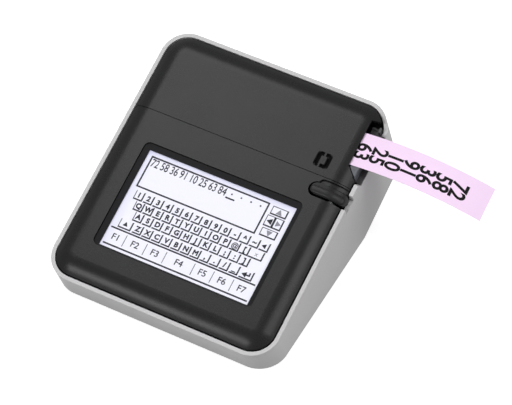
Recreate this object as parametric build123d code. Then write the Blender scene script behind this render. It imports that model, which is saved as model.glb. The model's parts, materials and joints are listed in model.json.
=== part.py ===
from build123d import *
import math
import os

# Desktop label maker with a touch screen, sizes in millimetres.
# Deck frame: x right, y back along the tilted deck, z square to the deck, z = 0 at the case rim.
# Everything is drawn in the deck frame, then tilted onto the desk, where +Z is up.

# Case
CASE_W = 123.4
CASE_D = 142.0
CASE_R = 14.0
RIM_W = 2.3
FLOOR_T = 2.6
FRONT_H = 18.3
DECK_TILT = 19.0
HEEL_BACK = 50.0
BACK_H = 46.4
BASE_FILLET = 1.0
FOOT_H = 0.9
FOOT_R = 5.0
FOOT_SINK = 0.6
FOOT_SPAN_X = 92.0
FOOT_EDGE = 11.65

# Pillowed black deck: front panel and tape cover
PANEL_GAP = 0.45
PANEL_RISE = 2.8
BORDER_W = 9.5
SHELL_T = 1.8
SKIRT_H = 3.0
COVER_D = 46.15
PART_GAP = 0.3

# Screen
SCREEN_W = 81.1
SCREEN_X = -0.15
SCREEN_FRONT = 22.4
SCREEN_BACK = 65.7
BEZEL_LEFT = 3.5
BEZEL_RIGHT = 2.4
BEZEL_BACK = 3.5
BEZEL_FRONT = 1.0
BEZEL_R = 3.0
BEZEL_DROP = 0.7
BEZEL_LIP_T = 0.6
BEZEL_FLANGE = 1.5
GLASS_T = 1.1
GLASS_LAP = 0.35
LCD_T = 2.6
LCD_TRAY_T = 1.6
STACK_GAP = 0.1
SEAT_FIT = 0.15

# Main board, hung from the front panel
BOARD_W = 104.0
BOARD_OVER = 2.1
BOARD_T = 1.6
BOARD_SHIFT = 0.35
BOARD_Z = -7.6
BOARD_POST_R = 2.4
BOARD_POST_INSET = 2.8
BOARD_SCREW_R = 1.0
BOARD_SCREW_HEAD_R = 1.9
BOARD_SCREW_HEAD_H = 1.2
BOARD_SCREW_L = 4.0
PROCESSOR_SIZE = 14.0
PROCESSOR_X = -12.0
MEMORY_W = 10.0
MEMORY_D = 8.0
MEMORY_X = 10.0
DRIVER_W = 6.0
DRIVER_X = 24.0
DRIVER_SHIFT = 8.0

# Posts that screw the front panel to the case
POST_SIDE = 7.1
POST_FRONT = 15.0
POST_REAR = 15.35
POST_R = 3.4
POST_JOIN_Z = -9.0
POST_WEB_T = 2.0
WELL_R = 2.6
CASE_SCREW_R = 1.3
CASE_SCREW_HEAD_R = 2.3
CASE_SCREW_HEAD_H = 1.8
CASE_SCREW_L = 9.0
SCREW_FIT = 0.1

# Cover hinge
HINGE_BACK = 10.5
HINGE_Z = -1.0
HINGE_SIDE = 21.7
HINGE_PIN_R = 1.0
HINGE_PIN_L = 8.8
PIN_SEAT = 0.02
HINGE_FIT = 0.05
LUG_W = 4.0
LUG_R = 1.8
EAR_W = 2.2
EAR_GAP = 0.25

# Tape path
TAPE_W = 18.0
TAPE_BACK = 25.9
TAPE_T = 0.2
TAPE_CREST_OUT = 14.3
TAPE_CREST_Z = 3.5
TAPE_CURL_R = 108.0
TAPE_OUT = 59.8
NIP_SIDE = 25.7
LEAD_ANGLE = 5.0
LEAD_R = 25.0
TAPE_REST_GAP = 0.12

# Printer
PLATEN_R = 4.5
PLATEN_SHAFT_R = 1.5
PLATEN_W = 19.6
BEARING_FIT = 0.05
HEAD_L = 7.5
HEAD_TOE = 1.2
HEAD_T = 0.9
HEAD_BRACKET_T = 1.0
HEAD_SIDE = 0.8
GEAR_MODULE = 0.6
GEAR_W = 3.0
GEAR_GAP = 0.4
PLATEN_TEETH = 16
IDLER_TEETH = 24
PINION_TEETH = 12
GEAR_BACKLASH = 0.25
GEAR_ADDENDUM = 0.8
GEAR_DEDENDUM = 1.15
PRESSURE_ANGLE = 20.0
FLANK_STEPS = 4
IDLER_DIR = -110.0
PINION_DIR = -160.0
IDLER_STUD_R = 1.5
MOTOR_R = 10.0
MOTOR_L = 14.0
MOTOR_SHAFT_R = 1.0
MOTOR_FLANGE_T = 1.0

# Tape cassette
ROLL_REACH = 29.0
ROLL_R = 15.5
CORE_R = 7.5
CORE_T = 1.4
HUB_T = 1.2
CASSETTE_WALL = 1.4
CASSETTE_ROOM = 0.8
CASSETTE_SIDE = 0.9
CASSETTE_NOSE = 4.0
CASSETTE_R = 3.0
SUPPLY_GAP = 0.15

# Cassette bay
BAY_FRONT = 18.9
BAY_STEP = 1.5
BAY_WALL = 1.6
BAY_SLACK = 1.2
BAY_SIDE = 14.3
BAY_FIT = 0.25
BAY_LEG_R = 3.0
EAR_STRIP_Z = -14.0
EAR_STRIP_OVER = 6.0

# Cutter
LEVER_L = 20.6
LEVER_FRONT = 6.75
LEVER_W = 6.5
LEVER_RISE = 0.9
LEVER_T = 2.6
LEVER_FIT = 0.45
LEVER_ROOM = 0.95
LEVER_TIP_DROP = 2.6
LEVER_STROKE = 7.0
SCOOP_W = 2.6
SCOOP_DEPTH = 1.2
PIVOT_BACK = 4.15
PIVOT_Z = -2.4
PIVOT_R = 1.3
PIVOT_FIT = 0.06
ARM_GAP = 1.0
ARM_T = 2.4
ARM_H = 4.2
ARM_BOSS_R = 2.7
BLADE_T = 0.5
BLADE_BEVEL_T = 0.4
BLADE_BEVEL_H = 0.8
BLADE_H = 4.0
BLADE_OVER = 0.35
BLADE_REACH = 1.6
BLADE_SLIT = 0.3
FIXED_BLADE_T = 0.4
SPRING_SHIFT = 0.7
SPRING_R = 1.7
SPRING_WIRE_R = 0.3
SPRING_TURNS = 4
SPRING_L = 6.0
SHELF_T = 1.6

# Tape exit
EXIT_FRONT = 9.9
EXIT_BACK = 15.9
EXIT_SIDE = 8.3
EXIT_LIP_Z = -4.3
EXIT_LIP_T = 0.6
TRAY_FLOOR_T = 1.2
TRAY_DROP = 4.0
EXIT_WALL_FRONT = 14.8
EXIT_WALL_BACK = 12.7
EXIT_WALL_SLOPE = 1.2
EXIT_END_Z = -1.2
EXIT_STOP_H = 0.5
EXIT_THIN = 0.9
GUIDE_GAP = 0.8
GUIDE_SIDE = 3.1
GUIDE_BACK = 7.5
GUIDE_FIT = 0.7

# Moulded mark on the cover
MARK_SIDE = 20.8
MARK_FRONT = 7.85
MARK_W = 6.8
MARK_H = 7.9
MARK_R = 1.6
MARK_LINE = 1.4
MARK_DEPTH = 0.8
MARK_BREAK = 1.6

# Batteries, laid along the base
CELL_R = 7.1
CELL_L = 49.2
CELL_NUB_R = 2.6
CELL_NUB_L = 1.2
CELL_BEVEL = 0.5
CELL_PITCH = 15.0
CELL_COUNT = 4
CELL_BACK = 69.0
TRAY_WALL = 1.3
TRAY_ROOM = 0.4
CONTACT_T = 0.4
CONTACT_W = 9.0
DOOR_T = 1.7
DOOR_FIT = 0.25
DOOR_TRAVEL = 8.0
DOOR_TONGUE = 0.8
DOOR_TONGUE_T = 0.7
DOOR_RIB_COUNT = 4
DOOR_RIB_H = 0.4

# Power button and supply socket
BUTTON_BACK = 31.0
BUTTON_Z = -14.0
BUTTON_L = 9.0
BUTTON_W = 4.4
BUTTON_PROUD = 1.0
BUTTON_TRAVEL = 0.7
BUTTON_FIT = 0.15
BUTTON_FLANGE = 1.0
SWITCH_SIZE = 6.0
JACK_SIDE = 23.7
JACK_Z = -28.0
JACK_R = 4.2
JACK_BORE_R = 2.9
JACK_L = 12.0
JACK_PIN_R = 0.9

# Worked-out places in the deck frame
TILT_SIN = math.sin(math.radians(DECK_TILT))
TILT_COS = math.cos(math.radians(DECK_TILT))
TILT_TAN = TILT_SIN / TILT_COS
HALF_D = CASE_D / 2
SIDE_X = CASE_W / 2
HEEL_Y = HALF_D - HEEL_BACK
PART_Y = HALF_D - COVER_D
SCREEN_D = CASE_D - SCREEN_FRONT - SCREEN_BACK
SCREEN_Y = -HALF_D + SCREEN_FRONT + SCREEN_D / 2
BOARD_D = SCREEN_D + BOARD_OVER
BOARD_Y = SCREEN_Y - BOARD_SHIFT
POST_X = SIDE_X - POST_SIDE
POST_FRONT_Y = -HALF_D + POST_FRONT
POST_REAR_Y = PART_Y - POST_REAR
HINGE_X = SIDE_X - HINGE_SIDE
HINGE_Y = HALF_D - HINGE_BACK
TAPE_Y = HALF_D - TAPE_BACK
TAPE_CREST_X = SIDE_X + TAPE_CREST_OUT
TAPE_END_X = SIDE_X + TAPE_OUT
NIP_X = SIDE_X - NIP_SIDE
ROLL_X = NIP_X - ROLL_REACH
BAY_FRONT_Y = TAPE_Y - BAY_FRONT
BAY_BACK_Y = HINGE_Y - BAY_STEP
BAY_RIGHT_X = SIDE_X - BAY_SIDE
EAR_STRIP_X = HINGE_X + EAR_STRIP_OVER
GEAR_Y = BAY_FRONT_Y + BAY_WALL + GEAR_GAP
LEVER_X1 = SIDE_X
LEVER_X0 = LEVER_X1 - LEVER_L
LEVER_Y = PART_Y - LEVER_FRONT
PIVOT_Y = PART_Y + PIVOT_BACK
ARM_X = BAY_RIGHT_X + ARM_GAP
SPRING_Y = LEVER_Y - SPRING_SHIFT
EXIT_X = SIDE_X - EXIT_SIDE
EXIT_Y0 = TAPE_Y - EXIT_FRONT
EXIT_Y1 = TAPE_Y + EXIT_BACK
EXIT_WALL_Y0 = TAPE_Y - EXIT_WALL_FRONT
EXIT_WALL_Y1 = TAPE_Y + EXIT_WALL_BACK
GUIDE_X0 = EXIT_X + GUIDE_GAP
GUIDE_X1 = SIDE_X - GUIDE_SIDE
MARK_X = SIDE_X - MARK_SIDE
MARK_Y = PART_Y + MARK_FRONT
BUTTON_Y = HALF_D - BUTTON_BACK
JACK_X = -SIDE_X + JACK_SIDE
HEEL_Z = -FRONT_H - (HEEL_Y + HALF_D) * TILT_TAN
REAR_RISE = (-BACK_H - HEEL_Z) / (HALF_D - HEEL_Y)
DESK_RISE = FOOT_H + HALF_D * TILT_SIN + FRONT_H * TILT_COS
DESK = Pos(0, -BACK_H * TILT_SIN / 2, DESK_RISE) * Rot(DECK_TILT, 0, 0)
DECK = DESK.inverse()
ROW = Pos(-(TAPE_END_X - SIDE_X - BUTTON_PROUD) / 2, 0, 0) * DESK
WELL_W = CASE_W - 2 * RIM_W
WELL_D = CASE_D - 2 * RIM_W
WELL_CORNER_R = CASE_R - RIM_W
PANEL_W = WELL_W - 2 * PANEL_GAP
PANEL_D = WELL_D - 2 * PANEL_GAP
PANEL_R = WELL_CORNER_R - PANEL_GAP
PILLOW_R = (BORDER_W ** 2 + PANEL_RISE ** 2) / (2 * PANEL_RISE)
DEEP = 2 * BACK_H
LEVER_Y0 = LEVER_Y - LEVER_W / 2
LEVER_Y1 = LEVER_Y + LEVER_W / 2
NOTCH_DROP = LEVER_TIP_DROP + (PIVOT_Y - LEVER_Y0) * math.sin(math.radians(LEVER_STROKE)) + LEVER_FIT
MOUTH_Z = EXIT_LIP_Z - EXIT_LIP_T - STACK_GAP
COVER_Y0 = PART_Y + PART_GAP / 2
FRONT_Y1 = PART_Y - PART_GAP / 2


def box(x0, x1, y0, y1, z0, z1):
    """Block between two corners."""
    centre = Pos((x0 + x1) / 2, (y0 + y1) / 2, (z0 + z1) / 2)
    return centre * Box(x1 - x0, y1 - y0, z1 - z0)


def along_x(sketch, x0, x1):
    """Extrude a sketch drawn in (y, z) from x0 to x1."""
    plane = Plane(origin=(x0, 0, 0), x_dir=(0, 1, 0), z_dir=(1, 0, 0))
    return extrude(plane * sketch, amount=x1 - x0)


def along_y(sketch, y0, y1):
    """Extrude a sketch drawn in (x, z) from y0 to y1."""
    plane = Plane(origin=(0, y1, 0), x_dir=(1, 0, 0), z_dir=(0, -1, 0))
    return extrude(plane * sketch, amount=y1 - y0)


def along_z(sketch, z0, z1):
    """Extrude a sketch drawn in (x, y) from z0 to z1."""
    return extrude(Plane.XY.offset(z0) * sketch, amount=z1 - z0)


def rod_x(y, z, radius, x0, x1):
    return along_x(Pos(y, z) * Circle(radius), x0, x1)


def rod_y(x, z, radius, y0, y1):
    return along_y(Pos(x, z) * Circle(radius), y0, y1)


def rod_z(x, y, radius, z0, z1):
    return along_z(Pos(x, y) * Circle(radius), z0, z1)


def outline(points):
    """Closed face through corner points."""
    return make_face(Polyline(*points, close=True))


def front_floor(y, lift):
    """Height of the base plane, raised by a wall thickness."""
    return -FRONT_H - (y + HALF_D) * TILT_TAN + lift / TILT_COS


def rear_floor(y, lift):
    """Height of the rising underside behind the heel."""
    return HEEL_Z + (y - HEEL_Y) * REAR_RISE + lift * math.hypot(1, REAR_RISE)


def side_profile(lift):
    """Side view of the case down to its underside, in (y, z)."""
    reach = CASE_D
    meet = (HEEL_Z - HEEL_Y * REAR_RISE + lift * math.hypot(1, REAR_RISE) - front_floor(0, lift))
    heel = meet / (-TILT_TAN - REAR_RISE)
    return outline([
        (-reach, DEEP),
        (-reach, front_floor(-reach, lift)),
        (heel, front_floor(heel, lift)),
        (reach, rear_floor(reach, lift)),
        (reach, DEEP),
    ])


def plan_block(width, depth, radius, z0, z1):
    return along_z(RectangleRounded(width, depth, radius), z0, z1)


def pillow(rise, grow):
    """Deck form whose top is flat and rolls down over its border; grow widens its outline."""
    spread = PILLOW_R - BORDER_W
    body = plan_block(PANEL_W + 2 * spread, PANEL_D + 2 * spread, PANEL_R + spread, rise - DEEP / 2, rise)
    body = fillet(body.edges().group_by(Axis.Z)[-1], PILLOW_R)
    trim = plan_block(PANEL_W + 2 * grow, PANEL_D + 2 * grow, PANEL_R + grow, -SKIRT_H, DEEP)
    return body & trim


def pill(x0, x1, y, width):
    """Slot outline with round ends."""
    return Pos((x0 + x1) / 2, y) * SlotOverall(x1 - x0, width)


# Case
def post_places():
    return [(sx * POST_X, y) for sx in (-1, 1) for y in (POST_FRONT_Y, POST_REAR_Y)]


def lower_case():
    shell = plan_block(CASE_W, CASE_D, CASE_R, -DEEP, 0) & along_x(side_profile(0), -CASE_W, CASE_W)
    rim_faces = shell.faces().filter_by(lambda f: f.normal_at().Z < -0.5)
    under = [e for f in rim_faces for e in f.edges()]
    heel = [e for e in under if abs(e.center().Y - HEEL_Y) < RIM_W and abs(e.center().X) < RIM_W]
    shell = fillet([e for e in under if e not in heel], BASE_FILLET)
    inside = plan_block(WELL_W, WELL_D, WELL_CORNER_R, -DEEP, DEEP)
    shell -= inside & along_x(side_profile(FLOOR_T), -CASE_W, CASE_W)
    room = along_x(side_profile(0), -CASE_W, CASE_W)
    for x, y in post_places():
        post = rod_z(x, y, POST_R, -DEEP, POST_JOIN_Z) & room
        shell += post
        shell -= rod_z(x, y, WELL_R, -DEEP, POST_JOIN_Z - POST_WEB_T)
        shell -= rod_z(x, y, CASE_SCREW_R + SCREW_FIT, -DEEP, POST_JOIN_Z)
    shell -= lever_notch()
    shell -= exit_notch()
    shell -= DECK * (door_room() + foot_seats())
    shell += switch_rib()
    shell -= button_hole()
    shell -= rod_y(JACK_X, JACK_Z, JACK_R + SEAT_FIT, HALF_D - 2 * RIM_W, CASE_D)
    return shell


def lever_notch():
    """Gap in the right rim for the tip of the lever."""
    x0 = WELL_W / 2 - 1
    return box(x0, CASE_W, LEVER_Y0 - LEVER_ROOM, LEVER_Y1 + LEVER_FIT, -NOTCH_DROP, DEEP)


def exit_notch():
    """Mouth for the tape, cut down through the right rim."""
    x0 = WELL_W / 2 - 1
    tooth = EXIT_Y0 - EXIT_WALL_Y0
    mouth = outline([
        (EXIT_WALL_Y0 - tooth / 2, DEEP),
        (EXIT_WALL_Y0 - tooth / 2, 0),
        (EXIT_WALL_Y0, MOUTH_Z),
        (EXIT_WALL_Y1, MOUTH_Z),
        (EXIT_WALL_Y1 + EXIT_WALL_SLOPE, 0),
        (EXIT_WALL_Y1 + EXIT_WALL_SLOPE, DEEP),
    ])
    return along_x(mouth, x0, CASE_W)


def foot_seats():
    seat_r = FOOT_R + SCREW_FIT
    return Compound(children=[rod_z(x, y, seat_r, -FOOT_H, FOOT_H + FOOT_SINK) for x, y in foot_places()])


def foot_places():
    return [(sx * FOOT_SPAN_X / 2, y) for sx in (-1, 1) for y in (BASE_Y0 + FOOT_EDGE, BASE_Y1 - FOOT_EDGE)]


BASE_Y0 = -HALF_D * TILT_COS + FRONT_H * TILT_SIN - BACK_H * TILT_SIN / 2
BASE_Y1 = HEEL_Y * TILT_COS - HEEL_Z * TILT_SIN - BACK_H * TILT_SIN / 2


def rubber_feet():
    feet = []
    for x, y in foot_places():
        foot = rod_z(x, y, FOOT_R, 0, FOOT_H + FOOT_SINK)
        feet.append(DECK * chamfer(foot.edges().group_by(Axis.Z)[0], FOOT_H / 3))
    return Compound(children=feet)


def case_screws():
    screws = []
    for x, y in post_places():
        seat = POST_JOIN_Z - POST_WEB_T
        screw = rod_z(x, y, CASE_SCREW_HEAD_R, seat - CASE_SCREW_HEAD_H, seat)
        screw += rod_z(x, y, CASE_SCREW_R, seat, seat + CASE_SCREW_L)
        screw -= along_z(Pos(x, y) * RegularPolygon(CASE_SCREW_R, 6), -DEEP, seat - CASE_SCREW_HEAD_H / 2)
        screws.append(screw)
    return Compound(children=screws)


# Black deck
UNDER_Z = PANEL_RISE - SHELL_T
SCOOP_Y = LEVER_Y + LEVER_W / 2


def deck_shell():
    return pillow(PANEL_RISE, 0) - pillow(UNDER_Z, -SHELL_T)


def above_deck(sketch, depth):
    """Shallow cut that follows the deck down to a depth."""
    return along_z(sketch, -SKIRT_H, DEEP) - pillow(PANEL_RISE - depth, RIM_W)


def screen_opening(extra):
    width = SCREEN_W + BEZEL_LEFT + BEZEL_RIGHT + 2 * extra
    depth = SCREEN_D + BEZEL_FRONT + BEZEL_BACK + 2 * extra
    x = SCREEN_X + (BEZEL_RIGHT - BEZEL_LEFT) / 2
    y = SCREEN_Y + (BEZEL_BACK - BEZEL_FRONT) / 2
    return Pos(x, y) * RectangleRounded(width, depth, BEZEL_R + extra)


def board_places():
    x = BOARD_W / 2 - BOARD_POST_INSET
    y = BOARD_D / 2 - BOARD_POST_INSET
    return [(sx * x, BOARD_Y + sy * y) for sx in (-1, 1) for sy in (-1, 1)]


def front_panel():
    panel = deck_shell() & box(-CASE_W, CASE_W, -CASE_D, FRONT_Y1, -DEEP, DEEP)
    for x, y in post_places():
        boss = rod_z(x, y, POST_R, POST_JOIN_Z, UNDER_Z) & pillow_fill()
        panel += boss - rod_z(x, y, CASE_SCREW_R + SCREW_FIT, -DEEP, POST_JOIN_Z + CASE_SCREW_L)
    for x, y in board_places():
        stud = rod_z(x, y, BOARD_POST_R, BOARD_Z + BOARD_T, UNDER_Z)
        panel += stud - rod_z(x, y, BOARD_SCREW_R + SCREW_FIT, -DEEP, BOARD_Z + BOARD_T + BOARD_SCREW_L)
    panel -= along_z(screen_opening(0), -DEEP, DEEP)
    slot_y = LEVER_Y + (LEVER_FIT - LEVER_ROOM) / 2
    slot_w = LEVER_W + LEVER_FIT + LEVER_ROOM
    panel -= along_z(pill(LEVER_X0 - LEVER_FIT, CASE_W, slot_y, slot_w), -DEEP, DEEP)
    scoop = pill(LEVER_X0 + LEVER_W / 2, CASE_W, SCOOP_Y, 2 * SCOOP_W)
    panel -= above_deck(scoop, SCOOP_DEPTH) & box(0, CASE_W, LEVER_Y, FRONT_Y1, -DEEP, DEEP)
    return panel


def pillow_fill():
    """Space from well below the rim up to mid-thickness of the deck shell."""
    fill = pillow(PANEL_RISE - SHELL_T / 2, -SHELL_T / 2)
    return fill + plan_block(PANEL_W - SHELL_T, PANEL_D - SHELL_T, PANEL_R - SHELL_T / 2, -DEEP, -SKIRT_H)


def tape_cover():
    cover = deck_shell() & box(-CASE_W, CASE_W, COVER_Y0, CASE_D, -DEEP, DEEP)
    cut_x = PANEL_W / 2 + 1
    slant = cut_x - EXIT_X
    mouth = outline([
        (EXIT_X, EXIT_Y0),
        (EXIT_X, EXIT_Y1),
        (cut_x, EXIT_Y1 + slant * TILT_TAN),
        (cut_x, EXIT_Y0 - slant),
    ])
    cover -= along_z(mouth, -DEEP, DEEP)
    relief = box(BAY_RIGHT_X, EXIT_X + 1, SADDLE_Y1 - 3 * BLADE_REACH, BAY_BACK_Y, -DEEP, DEEP)
    cover -= relief & pillow(PANEL_RISE - EXIT_THIN, 0)
    cover -= above_deck(cover_mark(), MARK_DEPTH)
    cover -= box(-CASE_W, CASE_W, HINGE_Y + LUG_R, CASE_D, -DEEP, HINGE_Z - PANEL_GAP / 2)
    for side in (-1, 1):
        x0 = side * HINGE_X - LUG_W / 2
        x1 = side * HINGE_X + LUG_W / 2
        lug = rod_x(HINGE_Y, HINGE_Z, LUG_R, x0, x1)
        lug += box(x0, x1, HINGE_Y - LUG_R, HINGE_Y + LUG_R, HINGE_Z, UNDER_Z + SHELL_T / 2)
        cover += lug
        cover -= rod_x(HINGE_Y, HINGE_Z, HINGE_PIN_R + HINGE_FIT, x0 - 1, x1 + 1)
    return cover


def cover_mark():
    """Two facing brackets, broken at the top middle and at the bottom left."""
    ring = RectangleRounded(MARK_W, MARK_H, MARK_R)
    ring -= RectangleRounded(MARK_W - 2 * MARK_LINE, MARK_H - 2 * MARK_LINE, MARK_R / 2)
    ring -= Pos(0, MARK_H / 2) * Rectangle(MARK_BREAK, MARK_H)
    ring -= Pos(-MARK_W / 2 + MARK_R + MARK_BREAK / 2, -MARK_H / 2) * Rectangle(MARK_BREAK, 2 * MARK_LINE)
    return Pos(MARK_X, MARK_Y) * ring


def hinge_pins():
    pins = []
    for side in (-1, 1):
        x0 = side * HINGE_X - HINGE_PIN_L / 2
        pins.append(rod_x(HINGE_Y, HINGE_Z, HINGE_PIN_R, x0, x0 + HINGE_PIN_L))
    return Compound(children=pins)


# Screen and main board
LIP_Z = PANEL_RISE - BEZEL_DROP
GLASS_Z = LIP_Z - BEZEL_LIP_T
LCD_Z = GLASS_Z - GLASS_T - STACK_GAP
LCD_TRAY_Z = LCD_Z - LCD_T - STACK_GAP


def screen_plate(extra, z0, z1):
    return along_z(Pos(SCREEN_X, SCREEN_Y) * Rectangle(SCREEN_W + 2 * extra, SCREEN_D + 2 * extra), z0, z1)


def screen_bezel():
    ring = along_z(screen_opening(-SEAT_FIT), GLASS_Z - GLASS_T, LIP_Z)
    ring += along_z(screen_opening(BEZEL_FLANGE), GLASS_Z - GLASS_T, UNDER_Z - STACK_GAP)
    ring -= screen_plate(GLASS_LAP + SEAT_FIT, -DEEP, GLASS_Z)
    return ring - screen_plate(0, -DEEP, DEEP)


def touch_panel():
    return screen_plate(GLASS_LAP, GLASS_Z - GLASS_T, GLASS_Z - STACK_GAP / 2)


def lcd_panel():
    return screen_plate(BEZEL_FLANGE, LCD_Z - LCD_T, LCD_Z)


def lcd_tray():
    tray = screen_plate(BEZEL_FLANGE + 1, LCD_TRAY_Z - LCD_TRAY_T, LCD_TRAY_Z)
    for sx in (-1, 1):
        for sy in (-1, 1):
            x = SCREEN_X + sx * (SCREEN_W / 2 - BOARD_POST_R)
            y = SCREEN_Y + sy * (SCREEN_D / 2 - BOARD_POST_R)
            tray += rod_z(x, y, BOARD_POST_R, BOARD_Z + BOARD_T, LCD_TRAY_Z)
    return tray


def main_board():
    board = along_z(Pos(0, BOARD_Y) * Rectangle(BOARD_W, BOARD_D), BOARD_Z, BOARD_Z + BOARD_T)
    for x, y in board_places():
        board -= rod_z(x, y, BOARD_SCREW_R + SCREW_FIT, -DEEP, DEEP)
    return board


def board_screws():
    screws = []
    for x, y in board_places():
        screw = rod_z(x, y, BOARD_SCREW_HEAD_R, BOARD_Z - BOARD_SCREW_HEAD_H, BOARD_Z)
        screw += rod_z(x, y, BOARD_SCREW_R, BOARD_Z, BOARD_Z + BOARD_SCREW_L)
        screws.append(screw)
    return Compound(children=screws)


def board_chips():
    """Processor, memory and driver on the upper side of the board."""
    top = BOARD_Z + BOARD_T
    height = LCD_TRAY_Z - LCD_TRAY_T - top - STACK_GAP
    chips = []
    for x, y, width, depth in (
        (PROCESSOR_X, BOARD_Y, PROCESSOR_SIZE, PROCESSOR_SIZE),
        (MEMORY_X, BOARD_Y, MEMORY_W, MEMORY_D),
        (DRIVER_X, BOARD_Y + DRIVER_SHIFT, DRIVER_W, MEMORY_D),
    ):
        chips.append(Pos(x, y, top + height / 2) * Box(width, depth, height))
    return Compound(children=chips)


# Tape path, drawn in (x, z)
NIP_ANGLE = math.degrees(math.asin((TAPE_CREST_X - NIP_X) / TAPE_CURL_R))
NIP_SIN = math.sin(math.radians(NIP_ANGLE))
NIP_COS = math.cos(math.radians(NIP_ANGLE))
LEAD_SIN = math.sin(math.radians(LEAD_ANGLE))
LEAD_COS = math.cos(math.radians(LEAD_ANGLE))
CURL_Z = TAPE_CREST_Z - TAPE_CURL_R
NIP_Z = CURL_Z + TAPE_CURL_R * NIP_COS
LEAD_CX = NIP_X - LEAD_R * NIP_SIN
LEAD_CZ = NIP_Z + LEAD_R * NIP_COS
LEAD_X = LEAD_CX + LEAD_R * LEAD_SIN
LEAD_Z = LEAD_CZ - LEAD_R * LEAD_COS
UNWIND_R = ROLL_R + SUPPLY_GAP + TAPE_T / 2
UNWIND_X = ROLL_X - UNWIND_R * LEAD_SIN
UNWIND_Z = LEAD_Z - (LEAD_X - UNWIND_X) * LEAD_SIN / LEAD_COS
ROLL_Z = UNWIND_Z - UNWIND_R * LEAD_COS
TAPE_Y0 = TAPE_Y - TAPE_W / 2
TAPE_Y1 = TAPE_Y + TAPE_W / 2
BLADE_X0 = ARM_X + ARM_T
BLADE_X1 = BLADE_X0 + BLADE_T


def curl_angle(x):
    """Angle, seen from the centre of the curl, of the tape at x."""
    return 90 + math.degrees(math.asin((TAPE_CREST_X - x) / TAPE_CURL_R))


def tape_z(x):
    return CURL_Z + TAPE_CURL_R * math.sin(math.radians(curl_angle(x)))


def curl_arc(x0, x1, shift):
    start = curl_angle(x0)
    return CenterArc((TAPE_CREST_X, CURL_Z), TAPE_CURL_R + shift, start, curl_angle(x1) - start)


def band(upper, lower):
    """Face between two chains of edges that run side by side."""
    caps = [Line(upper[0] @ 0, lower[0] @ 0), Line(upper[-1] @ 1, lower[-1] @ 1)]
    return make_face(upper + lower + caps)


def supply_edges(shift):
    back = (UNWIND_X - shift * LEAD_SIN, UNWIND_Z + shift * LEAD_COS)
    bend = CenterArc((LEAD_CX, LEAD_CZ), LEAD_R - shift, LEAD_ANGLE - 90, NIP_ANGLE - LEAD_ANGLE)
    return [Line(back, bend @ 0), bend, curl_arc(NIP_X, BLADE_X0 - BLADE_SLIT, shift)]


def supply_tape():
    half = TAPE_T / 2
    return along_y(band(supply_edges(half), supply_edges(-half)), TAPE_Y0, TAPE_Y1)


def label_tape():
    half = TAPE_T / 2
    x0 = BLADE_X1 + BLADE_SLIT
    face = band([curl_arc(x0, TAPE_END_X, half)], [curl_arc(x0, TAPE_END_X, -half)])
    return along_y(face, TAPE_Y0, TAPE_Y1)


# Cassette
CASSETTE_Y0 = TAPE_Y0 - CASSETTE_SIDE - CASSETTE_WALL
CASSETTE_Y1 = TAPE_Y1 + CASSETTE_SIDE + CASSETTE_WALL
CASSETTE_X0 = ROLL_X - ROLL_R - CASSETTE_ROOM - CASSETTE_WALL
CASSETTE_X1 = ROLL_X + ROLL_R + CASSETTE_ROOM + CASSETTE_NOSE
CASSETTE_Z0 = ROLL_Z - ROLL_R - CASSETTE_ROOM - CASSETTE_WALL
CASSETTE_Z1 = LEAD_Z + CASSETTE_ROOM + CASSETTE_WALL
HUB_R = CORE_R - CORE_T - BEARING_FIT


def cassette_face(inset):
    width = CASSETTE_X1 - CASSETTE_X0 - 2 * inset
    height = CASSETTE_Z1 - CASSETTE_Z0 - 2 * inset
    place = Pos((CASSETTE_X0 + CASSETTE_X1) / 2, (CASSETTE_Z0 + CASSETTE_Z1) / 2)
    return place * RectangleRounded(width, height, CASSETTE_R - inset)


def cassette_case():
    lid_y = CASSETTE_Y1 - CASSETTE_WALL
    tub = along_y(cassette_face(0), CASSETTE_Y0, lid_y)
    tub -= along_y(cassette_face(CASSETTE_WALL), CASSETTE_Y0 + CASSETTE_WALL, CASSETTE_Y1)
    hub = rod_y(ROLL_X, ROLL_Z, HUB_R, CASSETTE_Y0, lid_y)
    hub -= rod_y(ROLL_X, ROLL_Z, HUB_R - HUB_T, CASSETTE_Y0 + CASSETTE_WALL, CASSETTE_Y1)
    tub += hub
    slot = box(CASSETTE_X1 - 2 * CASSETTE_WALL, CASSETTE_X1 + 1, TAPE_Y0 - CASSETTE_SIDE / 2, lid_y,
               LEAD_Z - CASSETTE_ROOM, LEAD_Z + CASSETTE_ROOM)
    return tub - slot


def cassette_lid():
    lid = along_y(cassette_face(0), CASSETTE_Y1 - CASSETTE_WALL, CASSETTE_Y1)
    window = Pos(ROLL_X, ROLL_Z) * SlotOverall(ROLL_R, CASSETTE_R)
    lid -= along_y(Pos(0, -CORE_R - CASSETTE_R) * window, -CASE_D, CASE_D)
    return lid


def tape_core():
    core = rod_y(ROLL_X, ROLL_Z, CORE_R - BEARING_FIT, TAPE_Y0, TAPE_Y1)
    return core - rod_y(ROLL_X, ROLL_Z, CORE_R - CORE_T, -CASE_D, CASE_D)


def tape_roll():
    roll = rod_y(ROLL_X, ROLL_Z, ROLL_R, TAPE_Y0, TAPE_Y1)
    return roll - rod_y(ROLL_X, ROLL_Z, CORE_R, -CASE_D, CASE_D)


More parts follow.
